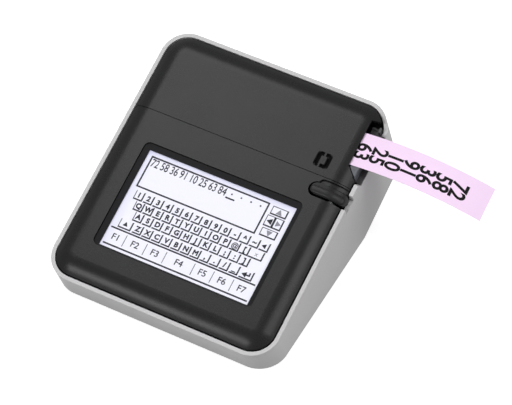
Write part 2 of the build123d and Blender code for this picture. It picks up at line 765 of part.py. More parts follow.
# Printer
PLATEN_DROP = PLATEN_R + TAPE_T / 2 + TAPE_REST_GAP
PLATEN_X = NIP_X + PLATEN_DROP * NIP_SIN
PLATEN_Z = NIP_Z - PLATEN_DROP * NIP_COS
PLATEN_Y0 = TAPE_Y - PLATEN_W / 2
PLATEN_Y1 = TAPE_Y + PLATEN_W / 2
BAY_INNER_Y0 = BAY_FRONT_Y + BAY_WALL
BAY_OUTER_Y1 = BAY_BACK_Y + BAY_WALL
IDLER_REACH = GEAR_MODULE * (PLATEN_TEETH + IDLER_TEETH) / 2
IDLER_X = PLATEN_X + IDLER_REACH * math.cos(math.radians(IDLER_DIR))
IDLER_Z = PLATEN_Z + IDLER_REACH * math.sin(math.radians(IDLER_DIR))
PINION_REACH = GEAR_MODULE * (IDLER_TEETH + PINION_TEETH) / 2
PINION_X = IDLER_X + PINION_REACH * math.cos(math.radians(PINION_DIR))
PINION_Z = IDLER_Z + PINION_REACH * math.sin(math.radians(PINION_DIR))


def mesh_phase(teeth, phase, direction, mate_teeth):
    """Turn of a gear that lets it mesh with a mate lying in a direction from the first gear."""
    passed = (direction - phase) * teeth / 360
    return direction + 180 - (0.5 - passed) * 360 / mate_teeth


def flank(teeth, phase, side):
    """Points of one involute flank, root to tip, for the tooth at a phase."""
    pitch_r = GEAR_MODULE * teeth / 2
    base_r = pitch_r * math.cos(math.radians(PRESSURE_ANGLE))
    tip_r = pitch_r + GEAR_ADDENDUM * GEAR_MODULE
    root_r = pitch_r - GEAR_DEDENDUM * GEAR_MODULE
    half = math.pi / (2 * teeth) - GEAR_BACKLASH / (2 * pitch_r)
    pressure = math.radians(PRESSURE_ANGLE)
    swing = half + math.tan(pressure) - pressure
    start_r = max(base_r, root_r)
    radii = [start_r + (tip_r - start_r) * i / FLANK_STEPS for i in range(FLANK_STEPS + 1)]
    points = [(root_r, swing)] if root_r < base_r else []
    for radius in radii:
        roll = math.acos(min(1, base_r / radius))
        points.append((radius, swing - (math.tan(roll) - roll)))
    return [polar(radius, math.radians(phase) + side * angle) for radius, angle in points]


def polar(radius, angle):
    return (radius * math.cos(angle), radius * math.sin(angle))


def gear(teeth, phase, bore_r):
    """Spur gear outline centred on its own axis."""
    points = []
    for tooth in range(teeth):
        turn = phase + tooth * 360 / teeth
        points += flank(teeth, turn, -1)
        points += reversed(flank(teeth, turn, 1))
    return outline(points) - Circle(bore_r)


IDLER_PHASE = mesh_phase(PLATEN_TEETH, 0, IDLER_DIR, IDLER_TEETH)
PINION_PHASE = mesh_phase(IDLER_TEETH, IDLER_PHASE, PINION_DIR, PINION_TEETH)


def platen_gear():
    return along_y(Pos(PLATEN_X, PLATEN_Z) * gear(PLATEN_TEETH, 0, PLATEN_SHAFT_R), GEAR_Y, GEAR_Y + GEAR_W)


def idler_gear():
    wheel = gear(IDLER_TEETH, IDLER_PHASE, IDLER_STUD_R + BEARING_FIT)
    return along_y(Pos(IDLER_X, IDLER_Z) * wheel, GEAR_Y, GEAR_Y + GEAR_W)


def motor_pinion():
    wheel = gear(PINION_TEETH, PINION_PHASE, MOTOR_SHAFT_R)
    return along_y(Pos(PINION_X, PINION_Z) * wheel, GEAR_Y, GEAR_Y + GEAR_W)


def motor_shaft():
    return rod_y(PINION_X, PINION_Z, MOTOR_SHAFT_R, BAY_FRONT_Y - MOTOR_FLANGE_T, GEAR_Y + GEAR_W)


def feed_motor():
    can = rod_y(PINION_X, PINION_Z, MOTOR_R, BAY_FRONT_Y - MOTOR_L, BAY_FRONT_Y)
    can = fillet(can.edges().group_by(Axis.Y)[0], MOTOR_FLANGE_T)
    bore = rod_y(PINION_X, PINION_Z, MOTOR_SHAFT_R + BEARING_FIT, BAY_FRONT_Y - MOTOR_FLANGE_T, CASE_D)
    return can - bore


def platen_shaft():
    return rod_y(PLATEN_X, PLATEN_Z, PLATEN_SHAFT_R, BAY_FRONT_Y, BAY_OUTER_Y1)


def platen_rubber():
    rubber = rod_y(PLATEN_X, PLATEN_Z, PLATEN_R, PLATEN_Y0, PLATEN_Y1)
    return rubber - rod_y(PLATEN_X, PLATEN_Z, PLATEN_SHAFT_R, -CASE_D, CASE_D)


def head_strip(lift, thickness):
    """Section of a plate lying over the tape at the nip."""
    strip = Pos(HEAD_L / 2 - HEAD_TOE, lift + thickness / 2) * Rectangle(HEAD_L, thickness)
    return Pos(NIP_X, NIP_Z) * Rot(0, 0, NIP_ANGLE) * strip


HEAD_LIFT = TAPE_T / 2 + TAPE_REST_GAP


def thermal_head():
    return along_y(head_strip(HEAD_LIFT, HEAD_T), TAPE_Y0 - HEAD_SIDE, TAPE_Y1 + HEAD_SIDE)


def head_bracket():
    return along_y(head_strip(HEAD_LIFT + HEAD_T, HEAD_BRACKET_T), BAY_INNER_Y0, BAY_BACK_Y - HEAD_SIDE)


# Cassette bay, which carries the printer and the cover hinge
BAY_FLOOR_Z = CASSETTE_Z0 - BAY_FIT
BAY_LEFT_X = CASSETTE_X0 - BAY_SLACK - BAY_WALL
BAY_TOP_Z = UNDER_Z - 2 * BAY_FIT
BAY_RIGHT_X0 = BAY_RIGHT_X - BAY_WALL
SADDLE_Z = tape_z(BAY_RIGHT_X0) - TAPE_T
SADDLE_Y1 = TAPE_Y0 - BLADE_REACH - BLADE_SLIT
TAPE_CLEAR_Z = tape_z(BAY_RIGHT_X0) - PLATEN_SHAFT_R
SHELF_Z = PIVOT_Z - ARM_BOSS_R / 2 - SPRING_L
SPRING_X = ARM_X + ARM_T / 2


def cassette_bay():
    bay = box(BAY_LEFT_X, BAY_RIGHT_X, BAY_FRONT_Y, BAY_OUTER_Y1, BAY_FLOOR_Z - BAY_WALL, BAY_FLOOR_Z)
    bay += box(BAY_LEFT_X, BAY_RIGHT_X0, BAY_FRONT_Y, BAY_INNER_Y0, BAY_FLOOR_Z, BAY_TOP_Z)
    bay += box(BAY_LEFT_X, BAY_RIGHT_X0, BAY_BACK_Y, BAY_OUTER_Y1, BAY_FLOOR_Z, HINGE_Z)
    bay += box(-EAR_STRIP_X, EAR_STRIP_X, BAY_BACK_Y, BAY_OUTER_Y1, EAR_STRIP_Z, HINGE_Z - LUG_R - EAR_GAP)
    left_x1 = BAY_LEFT_X + BAY_WALL
    bay += box(BAY_LEFT_X, left_x1, BAY_FRONT_Y, BAY_OUTER_Y1, BAY_FLOOR_Z, ROLL_Z + ROLL_R / 2)
    bay += box(BAY_RIGHT_X0, BAY_RIGHT_X, BAY_FRONT_Y, BAY_OUTER_Y1, BAY_FLOOR_Z, TAPE_CLEAR_Z)
    bay += box(BAY_RIGHT_X0, BAY_RIGHT_X, BAY_FRONT_Y, SADDLE_Y1, BAY_FLOOR_Z, SADDLE_Z)
    bay += box(BAY_RIGHT_X0 - BAY_WALL, SPRING_X + 2 * SPRING_R, SPRING_Y - 2 * SPRING_R, BAY_FRONT_Y,
               SHELF_Z - SHELF_T, SHELF_Z)
    for side in (-1, 1):
        reach = LUG_W / 2 + EAR_GAP
        bay -= box(side * HINGE_X - reach, side * HINGE_X + reach, BAY_BACK_Y - 1, BAY_OUTER_Y1 + 1,
                   HINGE_Z - LUG_R - EAR_GAP, DEEP)
        for end in (-1, 1):
            near = side * HINGE_X + end * reach
            far = near + end * EAR_W
            x0, x1 = min(near, far), max(near, far)
            bay += rod_x(HINGE_Y, HINGE_Z, LUG_R - EAR_GAP, x0, x1)
            bay += box(x0, x1, BAY_BACK_Y, HINGE_Y + LUG_R - EAR_GAP, HINGE_Z - LUG_R, HINGE_Z)
            bay += box(x0, x1, BAY_BACK_Y, BAY_OUTER_Y1, EAR_STRIP_Z, HINGE_Z)
            bay -= rod_x(HINGE_Y, HINGE_Z, HINGE_PIN_R + PIN_SEAT, x0, x1)
    bay += rod_y(IDLER_X, IDLER_Z, IDLER_STUD_R, BAY_INNER_Y0, GEAR_Y + GEAR_W + BAY_FIT)
    bay -= rod_y(PLATEN_X, PLATEN_Z, PLATEN_SHAFT_R + BEARING_FIT, -CASE_D, CASE_D)
    bay -= rod_y(PINION_X, PINION_Z, MOTOR_SHAFT_R + BAY_FIT, BAY_FRONT_Y - 1, BAY_INNER_Y0 + 1)
    bay -= rod_x(PIVOT_Y, PIVOT_Z, PIVOT_R + PIN_SEAT, BAY_RIGHT_X0, CASE_W)
    inside = along_x(side_profile(FLOOR_T), -CASE_W, CASE_W)
    for x in (BAY_LEFT_X + BAY_LEG_R, BAY_RIGHT_X - BAY_LEG_R):
        for y in (BAY_FRONT_Y + BAY_LEG_R, BAY_OUTER_Y1 - BAY_LEG_R):
            bay += rod_z(x, y, BAY_LEG_R, -DEEP, BAY_FLOOR_Z - BAY_WALL) & inside
    return bay


# Cutter: a rocker whose blade rises through the tape when the lever is pressed
CUT_TOP = tape_z(BLADE_X1) + TAPE_T / 2 + BLADE_OVER
ARM_TOP = tape_z(ARM_X) - TAPE_T / 2 - BLADE_OVER - BLADE_SLIT
ARM_Y1 = TAPE_Y1 + BLADE_REACH


def at_rest(sketch):
    """Turn a sketch drawn at full press back to the rest position."""
    return Pos(PIVOT_Y, PIVOT_Z) * Rot(0, 0, -LEVER_STROKE) * Pos(-PIVOT_Y, -PIVOT_Z) * sketch


def upright(u0, u1, z0, z1):
    """Rectangle between two corners of an upright sketch."""
    return Pos((u0 + u1) / 2, (z0 + z1) / 2) * Rectangle(u1 - u0, z1 - z0)


def cutter_lever():
    rise = PANEL_RISE + LEVER_RISE
    finger = pillow(rise, 2 * RIM_W) - pillow(rise - LEVER_T, 2 * RIM_W)
    finger &= along_z(pill(LEVER_X0, LEVER_X1, LEVER_Y, LEVER_W), -LEVER_TIP_DROP, DEEP)
    finger = fillet(finger.faces().sort_by(Axis.Z)[-1].edges(), LEVER_FIT)
    neck = outline([
        (LEVER_Y0 + LEVER_FIT, UNDER_Z + LEVER_RISE),
        (LEVER_Y1 - LEVER_FIT, UNDER_Z + LEVER_RISE),
        (LEVER_Y1 - LEVER_FIT, UNDER_Z - LEVER_RISE),
        (PIVOT_Y, PIVOT_Z + ARM_BOSS_R),
        (PIVOT_Y, PIVOT_Z - ARM_BOSS_R),
        (LEVER_Y1, PIVOT_Z - ARM_BOSS_R / 2),
        (LEVER_Y0 + LEVER_FIT, PIVOT_Z - ARM_BOSS_R / 2),
    ])
    arm = neck + Pos(PIVOT_Y, PIVOT_Z) * Circle(ARM_BOSS_R)
    arm += at_rest(upright(PIVOT_Y, ARM_Y1, ARM_TOP - ARM_H, ARM_TOP))
    arm -= Pos(PIVOT_Y, PIVOT_Z) * Circle(PIVOT_R + PIVOT_FIT)
    return finger + along_x(arm, ARM_X, BLADE_X0)


def cutter_blade():
    blade = at_rest(upright(TAPE_Y0 - BLADE_REACH, ARM_Y1, CUT_TOP - BLADE_H, CUT_TOP))
    plate = along_x(blade, BLADE_X0, BLADE_X1)
    edge = plate.edges().filter_by(lambda e: e.length > TAPE_W and e.center().X > BLADE_X0 + BLADE_T / 2)
    return chamfer(edge.sort_by(Axis.Z)[-1], BLADE_BEVEL_T, BLADE_BEVEL_H)


def fixed_blade():
    under_r = TAPE_CURL_R + TAPE_T / 2 + TAPE_REST_GAP
    strip = Pos(TAPE_CREST_X, CURL_Z) * (Circle(under_r + FIXED_BLADE_T) - Circle(under_r))
    bar = along_y(strip, SADDLE_Y1 - 2 * BLADE_REACH, BAY_BACK_Y - BAY_FIT)
    x0 = BAY_RIGHT_X0 + PIVOT_FIT
    x1 = BLADE_X0 - 2 * PIVOT_FIT
    return bar & box(x0, x1, 0, CASE_D, -DEEP / 2, DEEP)


def lever_pin():
    return rod_x(PIVOT_Y, PIVOT_Z, PIVOT_R, BAY_RIGHT_X0, BLADE_X1)


def lever_spring():
    height = SPRING_L - 2 * SPRING_WIRE_R
    wire_turns = Helix(pitch=height / SPRING_TURNS, height=height, radius=SPRING_R)
    section = Plane(wire_turns @ 0, z_dir=wire_turns % 0) * RegularPolygon(SPRING_WIRE_R, 6)
    coil = sweep(section, path=wire_turns)
    return Pos(SPRING_X, SPRING_Y, SHELF_Z + SPRING_WIRE_R) * coil


# Tape exit
EXIT_TRAY_X0 = EXIT_X + BAY_FIT
EXIT_TRAY_X1 = CASE_W / 2 - BAY_FIT
EXIT_TRAY_Y0 = EXIT_WALL_Y0 + BAY_FIT
EXIT_TRAY_Y1 = EXIT_WALL_Y1 - BAY_FIT
EXIT_END_Y1 = HINGE_Y - BAY_FIT
TRAY_Z0 = MOUTH_Z - TRAY_FLOOR_T


def exit_tray():
    wall_x = WELL_W / 2 - BAY_FIT
    foot_z = TRAY_Z0 - TRAY_DROP
    section = upright(EXIT_TRAY_X0, wall_x, TRAY_Z0, EXIT_LIP_Z)
    section += upright(EXIT_TRAY_X0, EXIT_TRAY_X1, EXIT_LIP_Z - EXIT_LIP_T, EXIT_LIP_Z)
    section += upright(BAY_RIGHT_X, GUIDE_X0, foot_z, foot_z + TRAY_FLOOR_T)
    section += upright(EXIT_TRAY_X0, EXIT_TRAY_X0 + TRAY_FLOOR_T, foot_z, EXIT_LIP_Z)
    tray = along_y(section, EXIT_TRAY_Y0, EXIT_TRAY_Y1)
    side_x = wall_x - TRAY_FLOOR_T
    stop_z = EXIT_LIP_Z + EXIT_STOP_H
    end = box(EXIT_TRAY_X0, wall_x, EXIT_TRAY_Y1, EXIT_END_Y1, TRAY_Z0, EXIT_LIP_Z)
    end += box(EXIT_TRAY_X0, wall_x, EXIT_END_Y1 - TRAY_FLOOR_T, EXIT_END_Y1, TRAY_Z0, stop_z)
    end += box(side_x, wall_x, EXIT_TRAY_Y1, EXIT_END_Y1, TRAY_Z0, EXIT_END_Z)
    corner_r = WELL_CORNER_R - BAY_FIT
    return tray + (end & plan_block(2 * wall_x, WELL_D - 2 * BAY_FIT, corner_r, -DEEP, DEEP))


def exit_guide():
    """Pale ramp that the tape slides over."""
    ramp = Pos(TAPE_CREST_X, CURL_Z) * Circle(TAPE_CURL_R - TAPE_T / 2 - TAPE_REST_GAP)
    slant_y = EXIT_Y0 + EXIT_X + GUIDE_FIT
    plan = outline([
        (GUIDE_X0, slant_y - GUIDE_X0),
        (GUIDE_X1, slant_y - GUIDE_X1),
        (GUIDE_X1, TAPE_Y + GUIDE_BACK),
        (GUIDE_X0, TAPE_Y + GUIDE_BACK),
    ])
    return along_y(ramp, 0, CASE_D) & along_z(plan, EXIT_LIP_Z, DEEP)


# Batteries, drawn on the desk with +Z up
CELL_Z = FOOT_H + FLOOR_T + TRAY_ROOM + CELL_R
CELL_SPAN = CELL_L + CELL_NUB_L
CELL_BASE_Y = BASE_Y1 - CELL_BACK
BATTERY_X = (CELL_COUNT - 1) * CELL_PITCH / 2 + CELL_R + TRAY_ROOM
BATTERY_Y0 = CELL_BASE_Y - CONTACT_T - STACK_GAP
BATTERY_Y1 = CELL_BASE_Y + CELL_SPAN + CONTACT_T + STACK_GAP
BATTERY_TOP = CELL_Z + CELL_R + TRAY_ROOM
GROOVE_Z = FOOT_H + (DOOR_T - DOOR_TONGUE_T) / 2


def cell_places():
    return [(i - (CELL_COUNT - 1) / 2) * CELL_PITCH for i in range(CELL_COUNT)]


def door_room():
    """Opening over the batteries, with the grooves and the step that the door slides into."""
    slide_y = BATTERY_Y0 - DOOR_TRAVEL - 2 * DOOR_FIT
    room = box(-BATTERY_X, BATTERY_X, BATTERY_Y0, BATTERY_Y1, -FOOT_H, FOOT_H + 2 * FLOOR_T)
    room += box(-BATTERY_X, BATTERY_X, slide_y, BATTERY_Y1, -FOOT_H, FOOT_H + DOOR_T + DOOR_FIT / 2)
    tongue_x = BATTERY_X + DOOR_TONGUE + DOOR_FIT
    room += box(-tongue_x, tongue_x, slide_y, BATTERY_Y1, GROOVE_Z - DOOR_FIT / 2,
                GROOVE_Z + DOOR_TONGUE_T + DOOR_FIT / 2)
    return room


def battery_door():
    x = BATTERY_X - DOOR_FIT
    y0 = BATTERY_Y0 - DOOR_FIT
    y1 = BATTERY_Y1 - DOOR_FIT
    door = box(-x, x, y0, y1, FOOT_H, FOOT_H + DOOR_T)
    tongue_x = BATTERY_X + DOOR_TONGUE
    door += box(-tongue_x, tongue_x, y0, y1, GROOVE_Z, GROOVE_Z + DOOR_TONGUE_T)
    for i in range(DOOR_RIB_COUNT):
        y = y1 - (i + 2) * 2 * DOOR_T
        door -= box(-CELL_PITCH, CELL_PITCH, y, y + DOOR_T, 0, FOOT_H + DOOR_RIB_H)
    return DECK * door


def battery_tray():
    base = FOOT_H + FLOOR_T
    wall_x = BATTERY_X + TRAY_WALL
    top = BATTERY_TOP + TRAY_WALL
    tray = box(-wall_x, wall_x, BATTERY_Y0 - TRAY_WALL, BATTERY_Y1 + TRAY_WALL, base, top)
    tray -= box(-BATTERY_X, BATTERY_X, BATTERY_Y0, BATTERY_Y1, 0, BATTERY_TOP)
    return DECK * tray


def battery_cells():
    cells = []
    for i, x in enumerate(cell_places()):
        flip = i % 2
        y0 = CELL_BASE_Y + flip * CELL_NUB_L
        cell = rod_y(x, CELL_Z, CELL_R, y0, y0 + CELL_L)
        cell = chamfer(cell.edges(), CELL_BEVEL)
        nub_y = CELL_BASE_Y + (1 - flip) * CELL_L
        cell += rod_y(x, CELL_Z, CELL_NUB_R, nub_y, nub_y + CELL_NUB_L)
        cells.append(DECK * cell)
    return Compound(children=cells)


def battery_contacts():
    plates = []
    for x in cell_places():
        for y in (BATTERY_Y0, BATTERY_Y1 - CONTACT_T):
            plates.append(DECK * Pos(x, y + CONTACT_T / 2, CELL_Z) * Box(CONTACT_W, CONTACT_T, CONTACT_W))
    return Compound(children=plates)


# Power button and supply socket
WALL_X = -WELL_W / 2
BUTTON_FLANGE_X1 = WALL_X + STACK_GAP + BUTTON_FLANGE
SWITCH_X0 = BUTTON_FLANGE_X1 + BUTTON_TRAVEL + STACK_GAP


def button_face(extra):
    return Pos(BUTTON_Y, BUTTON_Z) * SlotOverall(BUTTON_L + 2 * extra, BUTTON_W + 2 * extra)


def button_hole():
    return along_x(button_face(BUTTON_FIT), -CASE_W, WALL_X + 1)


def power_button():
    outer = -CASE_W / 2 - BUTTON_PROUD
    cap = along_x(button_face(0), outer, WALL_X + STACK_GAP)
    cap = chamfer(cap.edges().group_by(Axis.X)[0], BUTTON_PROUD / 2)
    return cap + along_x(button_face(BUTTON_FLANGE), WALL_X + STACK_GAP, BUTTON_FLANGE_X1)


def power_switch():
    half = SWITCH_SIZE / 2
    face = Pos(BUTTON_Y, BUTTON_Z) * Rectangle(SWITCH_SIZE, SWITCH_SIZE)
    body = along_x(face, SWITCH_X0 + BUTTON_FLANGE, SWITCH_X0 + half)
    return body + rod_x(BUTTON_Y, BUTTON_Z, BUTTON_W / 4, SWITCH_X0, SWITCH_X0 + half)


def switch_rib():
    """Rib of the case that backs the switch."""
    half = SWITCH_SIZE / 2
    back_x = SWITCH_X0 + half
    rib = box(back_x, back_x + BAY_WALL, BUTTON_Y - BUTTON_L, BUTTON_Y + BUTTON_L, -DEEP, BUTTON_Z + half)
    return rib & along_x(side_profile(FLOOR_T / 2), -CASE_W, CASE_W)


def dc_jack():
    inner_y = WELL_D / 2
    outer_y = inner_y + RIM_W
    root_y = outer_y - JACK_L
    barrel = rod_y(JACK_X, JACK_Z, JACK_R, root_y, outer_y)
    barrel += rod_y(JACK_X, JACK_Z, JACK_R + BUTTON_FLANGE, inner_y - BAY_WALL, inner_y)
    barrel -= rod_y(JACK_X, JACK_Z, JACK_BORE_R, root_y + BAY_WALL, CASE_D)
    return barrel - rod_y(JACK_X, JACK_Z, JACK_PIN_R + PIN_SEAT, root_y, outer_y)


def jack_pin():
    outer_y = WELL_D / 2 + RIM_W
    pin = rod_y(JACK_X, JACK_Z, JACK_PIN_R, outer_y - JACK_L, outer_y - BUTTON_PROUD)
    return chamfer(pin.edges().group_by(Axis.Y)[-1], JACK_PIN_R / 3)


NODES = [
    lower_case, front_panel, tape_cover, hinge_pins, cassette_bay, rubber_feet, case_screws,
    screen_bezel, touch_panel, lcd_panel, lcd_tray, main_board, board_screws, board_chips,
    supply_tape, label_tape, cassette_case, cassette_lid, tape_core, tape_roll,
    platen_gear, idler_gear, motor_pinion, motor_shaft, feed_motor, platen_shaft, platen_rubber,
    thermal_head, head_bracket, cutter_lever, cutter_blade, fixed_blade, lever_pin, lever_spring,
    exit_tray, exit_guide, battery_door, battery_tray, battery_cells, battery_contacts,
    power_button, power_switch, dc_jack, jack_pin,
]

os.makedirs("parts", exist_ok=True)
for node in NODES:
    export_step(ROW * node(), f"parts/{node.__name__}.step")
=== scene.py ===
"""Looks of the label maker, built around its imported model. Lengths are in metres."""
import json
import math

import bpy
from mathutils import Matrix, Vector


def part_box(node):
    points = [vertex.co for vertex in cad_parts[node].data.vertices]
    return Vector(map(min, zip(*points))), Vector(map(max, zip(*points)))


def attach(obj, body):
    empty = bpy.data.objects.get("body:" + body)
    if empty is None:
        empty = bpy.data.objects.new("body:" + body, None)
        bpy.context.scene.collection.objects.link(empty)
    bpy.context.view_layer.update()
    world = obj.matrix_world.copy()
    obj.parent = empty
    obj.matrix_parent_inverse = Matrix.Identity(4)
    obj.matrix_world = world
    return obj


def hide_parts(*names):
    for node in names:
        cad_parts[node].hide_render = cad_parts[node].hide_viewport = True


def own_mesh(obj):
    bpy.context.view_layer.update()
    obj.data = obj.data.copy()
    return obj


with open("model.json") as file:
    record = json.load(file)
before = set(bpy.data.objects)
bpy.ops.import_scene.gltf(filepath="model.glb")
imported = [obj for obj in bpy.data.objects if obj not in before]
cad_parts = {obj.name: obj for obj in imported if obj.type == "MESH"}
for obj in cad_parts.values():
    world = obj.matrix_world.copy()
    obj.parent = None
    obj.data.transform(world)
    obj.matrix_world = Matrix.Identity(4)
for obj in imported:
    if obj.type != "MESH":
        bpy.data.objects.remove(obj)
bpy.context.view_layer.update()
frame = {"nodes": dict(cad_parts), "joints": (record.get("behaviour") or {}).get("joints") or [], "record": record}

MM = 0.001


def mm(*lengths):
    """Lengths given in millimetres, in metres."""
    return [length * MM for length in lengths]


def span(node_name):
    """Size of a node's box at rest."""
    low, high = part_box(node_name)
    return high - low


def middle(node_name):
    """Middle of a node's box at rest."""
    low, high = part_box(node_name)
    return (low + high) / 2


# Deck of the case: its own axes are x to the right, y up the slope, as the platen lies, and z out of it
SLOPE = next(joint["axis"] for joint in frame["joints"] if joint["name"] == "platen_spin")
DECK_TILT = math.atan2(SLOPE[2], SLOPE[1])
HINGE_Y = 60.5 * MM
HINGE_Z = -1.0 * MM
HINGE = Matrix.Translation(middle("hinge_pins")) @ Matrix.Rotation(DECK_TILT, 4, "X")
DECK = HINGE @ Matrix.Translation((0, -HINGE_Y, -HINGE_Z))


def on_deck(node_name):
    """Middle of a node in the axes of the deck."""
    return DECK.inverted() @ middle(node_name)


# Screen picture, measured from the middle of the touch film
SCREEN_W = 81.1 * MM
SCREEN_D = 53.9 * MM
FILM_T = 1.05 * MM
FILM_TOP = on_deck("touch_panel") + Vector((0, 0, FILM_T / 2))
INK_T = 0.04 * MM
ON_FILM = DECK @ Matrix.Translation(FILM_TOP + Vector((0, 0, INK_T / 2)))
RULE_W = 0.8 * MM
LINE_W = 0.55 * MM
BAR_ROUND = 0.2
POINTER_ROUND = 0.08

# Keys of the keyboard, in rows from the first key's place
KEY_W = 4.9 * MM
KEY_H = 5.0 * MM
KEY_PITCH = 5.3 * MM
KEY_SHADE = 0.18 * MM
KEY_DROP = 0.15 * MM
KEY_SIDE = 0.2 * MM
LEGEND_SIZE = 3.6 * MM
LEGEND_BOLD = 0.19 * MM
FINE_BOLD = 0.09 * MM
FINE_SIGNS = "@"
TOP_ROW_Y = 3.4 * MM
SECOND_ROW_Y = -1.8 * MM
THIRD_ROW_Y = -7.0 * MM
LAST_ROW_Y = -12.7 * MM
KEY_ROWS = [
    (-34.3 * MM, TOP_ROW_Y, "1234567890-^~"),
    (-31.8 * MM, SECOND_ROW_Y, "QWERTYUIOP@["),
    (-29.3 * MM, THIRD_ROW_Y, "ASDFGHJKL;:]"),
    (-26.6 * MM, LAST_ROW_Y, "ZXCVBNM,./_"),
]

# Keys at the ends of the rows; a pointer has its place, turn and radius, a bar its sides
UPWARD = 0.0
LEFTWARD = math.radians(90)
DOWNWARD = math.radians(180)
RIGHTWARD = math.radians(-90)
BACK_KEY_X = 34.8 * MM
BACK_POINTER = (34.6 * MM, TOP_ROW_Y, LEFTWARD, 1.5 * MM)
DELETE_KEY_X = 32.9 * MM
DELETE_KEY_W = 7.6 * MM
END_KEY_W = 6.992 * MM
SHIFT_KEY_X = -33.1 * MM
SHIFT_POINTER = (-33.3 * MM, -12.9 * MM, UPWARD, 1.5 * MM)
ENTER_KEY_X = 33.2 * MM
ENTER_KEY_Y = -12.9 * MM
ENTER_POINTER = (32.2 * MM, -13.2 * MM, LEFTWARD, 1.7 * MM)
ENTER_STEM = mm(32.4, 35.1, -13.6, -12.8)
ENTER_HOOK = mm(34.3, 35.1, -13.6, -11.6)

# Entry field: its box, numbers, cursor and the dots of the places still free
ENTRY_BOX = mm(-38.2, 27.2, 7.2, 24.7)
ENTRY_NUMBERS = ["72", "58", "36", "91", "10", "25", "63", "84"]
ENTRY_X = -34.8 * MM
ENTRY_Y = 21.2 * MM
ENTRY_PITCH = 5.34 * MM
ENTRY_SIZE = 6.0 * MM
ENTRY_BOLD = 0.06 * MM
ENTRY_STRETCH = 0.72
CURSOR_BAR = mm(5.3, 10.3, 18.6, 19.4)
DOT_XS = mm(7.7, 12.9, 18.2, 23.4)
DOT_Y = 21.5 * MM
DOT_HALF = 0.4 * MM

# Arrow pad beside the entry field, where only the left pointer is dark
PAD_BOXES = [
    mm(29.2, 37.7, 19.6, 24.1),
    mm(28.7, 33.3, 13.0, 19.0),
    mm(33.3, 37.9, 13.0, 19.0),
    mm(29.2, 37.8, 7.8, 12.2),
]
PAD_LEFT = (31.3 * MM, 16.0 * MM, LEFTWARD, 1.9 * MM)
PAD_FAINT = [
    (33.5 * MM, 21.5 * MM, UPWARD, 1.9 * MM),
    (35.3 * MM, 16.0 * MM, RIGHTWARD, 1.8 * MM),
    (33.5 * MM, 10.4 * MM, DOWNWARD, 1.9 * MM),
]

# Row of function cells below the keyboard
RULE_X = 39.5 * MM
RULE_YS = mm(-16.3, -25.1)
CELL_EDGES = mm(-39.5, -29.8, -18.5, -7.7, 7.8, 18.2, 28.8, 39.5)
CELL_LINE_HALF = 0.16 * MM
CELL_LINE_FOOT = -23.8 * MM
CELL_LINE_HEAD = -17.6 * MM
FUNCTION_Y = -20.7 * MM
FUNCTION_SIZE = 4.6 * MM

# Print on the tape outside the case, whose upper side is an arc
TAPE_CREST_X = 76.0 * MM
TAPE_CREST_Z = 3.6 * MM
TAPE_R = 108.1 * MM
TAPE_NUMBERS = ENTRY_NUMBERS[:-1]
PRINT_OFF_MIDDLE = 0.7 * MM
PRINT_Y = on_deck("label_tape").y - PRINT_OFF_MIDDLE
PRINT_START = 106.7 * MM
PRINT_PITCH = 8.4 * MM
PRINT_SIZE = 11.2 * MM
PRINT_BOLD = 0.27 * MM
PRINT_TURN = math.radians(-90)
PRINT_STRETCH = 0.8

# Sunk mark of the cover, and the span of the paint around it
COVER_TOP_Z = 2.81 * MM
MARK_X = 40.9 * MM
MARK_Y = 32.7 * MM
MARK_FLOOR_Z = 2.01 * MM
MARK_W = 6.76 * MM
MARK_H = 7.86 * MM
MARK_R = 1.58 * MM
MARK_LINE = 1.36 * MM
MARK_BREAK = 1.64 * MM
MARK_FOOT_X = MARK_BREAK / 2 + MARK_R - MARK_W / 2
MARK_BORDER = 0.5 * MM
MARK_SPAN_W = 8.0 * MM
MARK_SPAN_H = 8.1 * MM
MARK_GAP = 0.9 * MM

# Cutter lever, which follows the roll of the deck's right border
ROLL_X = 49.45 * MM
ROLL_R = 16.6 * MM
LEVER_SINK = 0.2
LEVER_BACK_Y = 21.35 * MM
LEVER_NARROW = 0.945
LEVER_MID_X = 50.4 * MM
LEVER_ARM_HALF = 2.0 * MM
LEVER_SHORT = 0.93
CROWN_X = 50.7 * MM
CROWN_Y = 17.5 * MM
CROWN_L = 18.2 * MM
CROWN_W = 4.2 * MM
CROWN_FOOT = 0.1 * MM
CROWN_H = 0.8 * MM
CROWN_ROUND = 2.5

# Rim of the case: its outline, its lip beside the deck, and its dip behind the tape mouth
RIM_HALF_W = span("lower_case").x / 2
RIM_HALF_D = 71.0 * MM
RIM_CORNER_R = 14.0 * MM
RIM_W = 2.3 * MM
RIM_PARE = 0.38 * MM
LIP_REACH = 0.3 * MM
LIP_REACH_Z = 0.05 * MM
DIP_X = 40.0 * MM
DIP_START_Y = 69.8 * MM
DIP_END_Y = 61.0 * MM
DIP_END_Z = -4.3 * MM
MOUTH_END_Y = 57.9 * MM
MOUTH_FLOOR_Z = -5.0 * MM

# Coil spring under the arm of the cutter lever
COIL_L = 6.0 * MM
COIL_FOOT = on_deck("lever_spring") - Vector((0, 0, COIL_L / 2))
COIL_R = 1.7 * MM
COIL_TURNS = 4
COIL_STEPS = 20
WIRE_R = 0.3 * MM
WIRE_SIDES = 8

# Meshes: corners nearer than this are one, and edges sharper than these angles stay sharp
MERGE_REACH = 0.001 * MM
SHARP_RECAST = math.radians(32)
SHARP_CROWN = math.radians(60)
SHARP_COIL = math.radians(50)

# Battery cells, whose sleeves leave the ends bare
CELL_MID_Y = middle("battery_cells").y
CELL_BARE_END = 3.7 * MM
SLEEVE_HALF = span("battery_cells").y / 2 - CELL_BARE_END

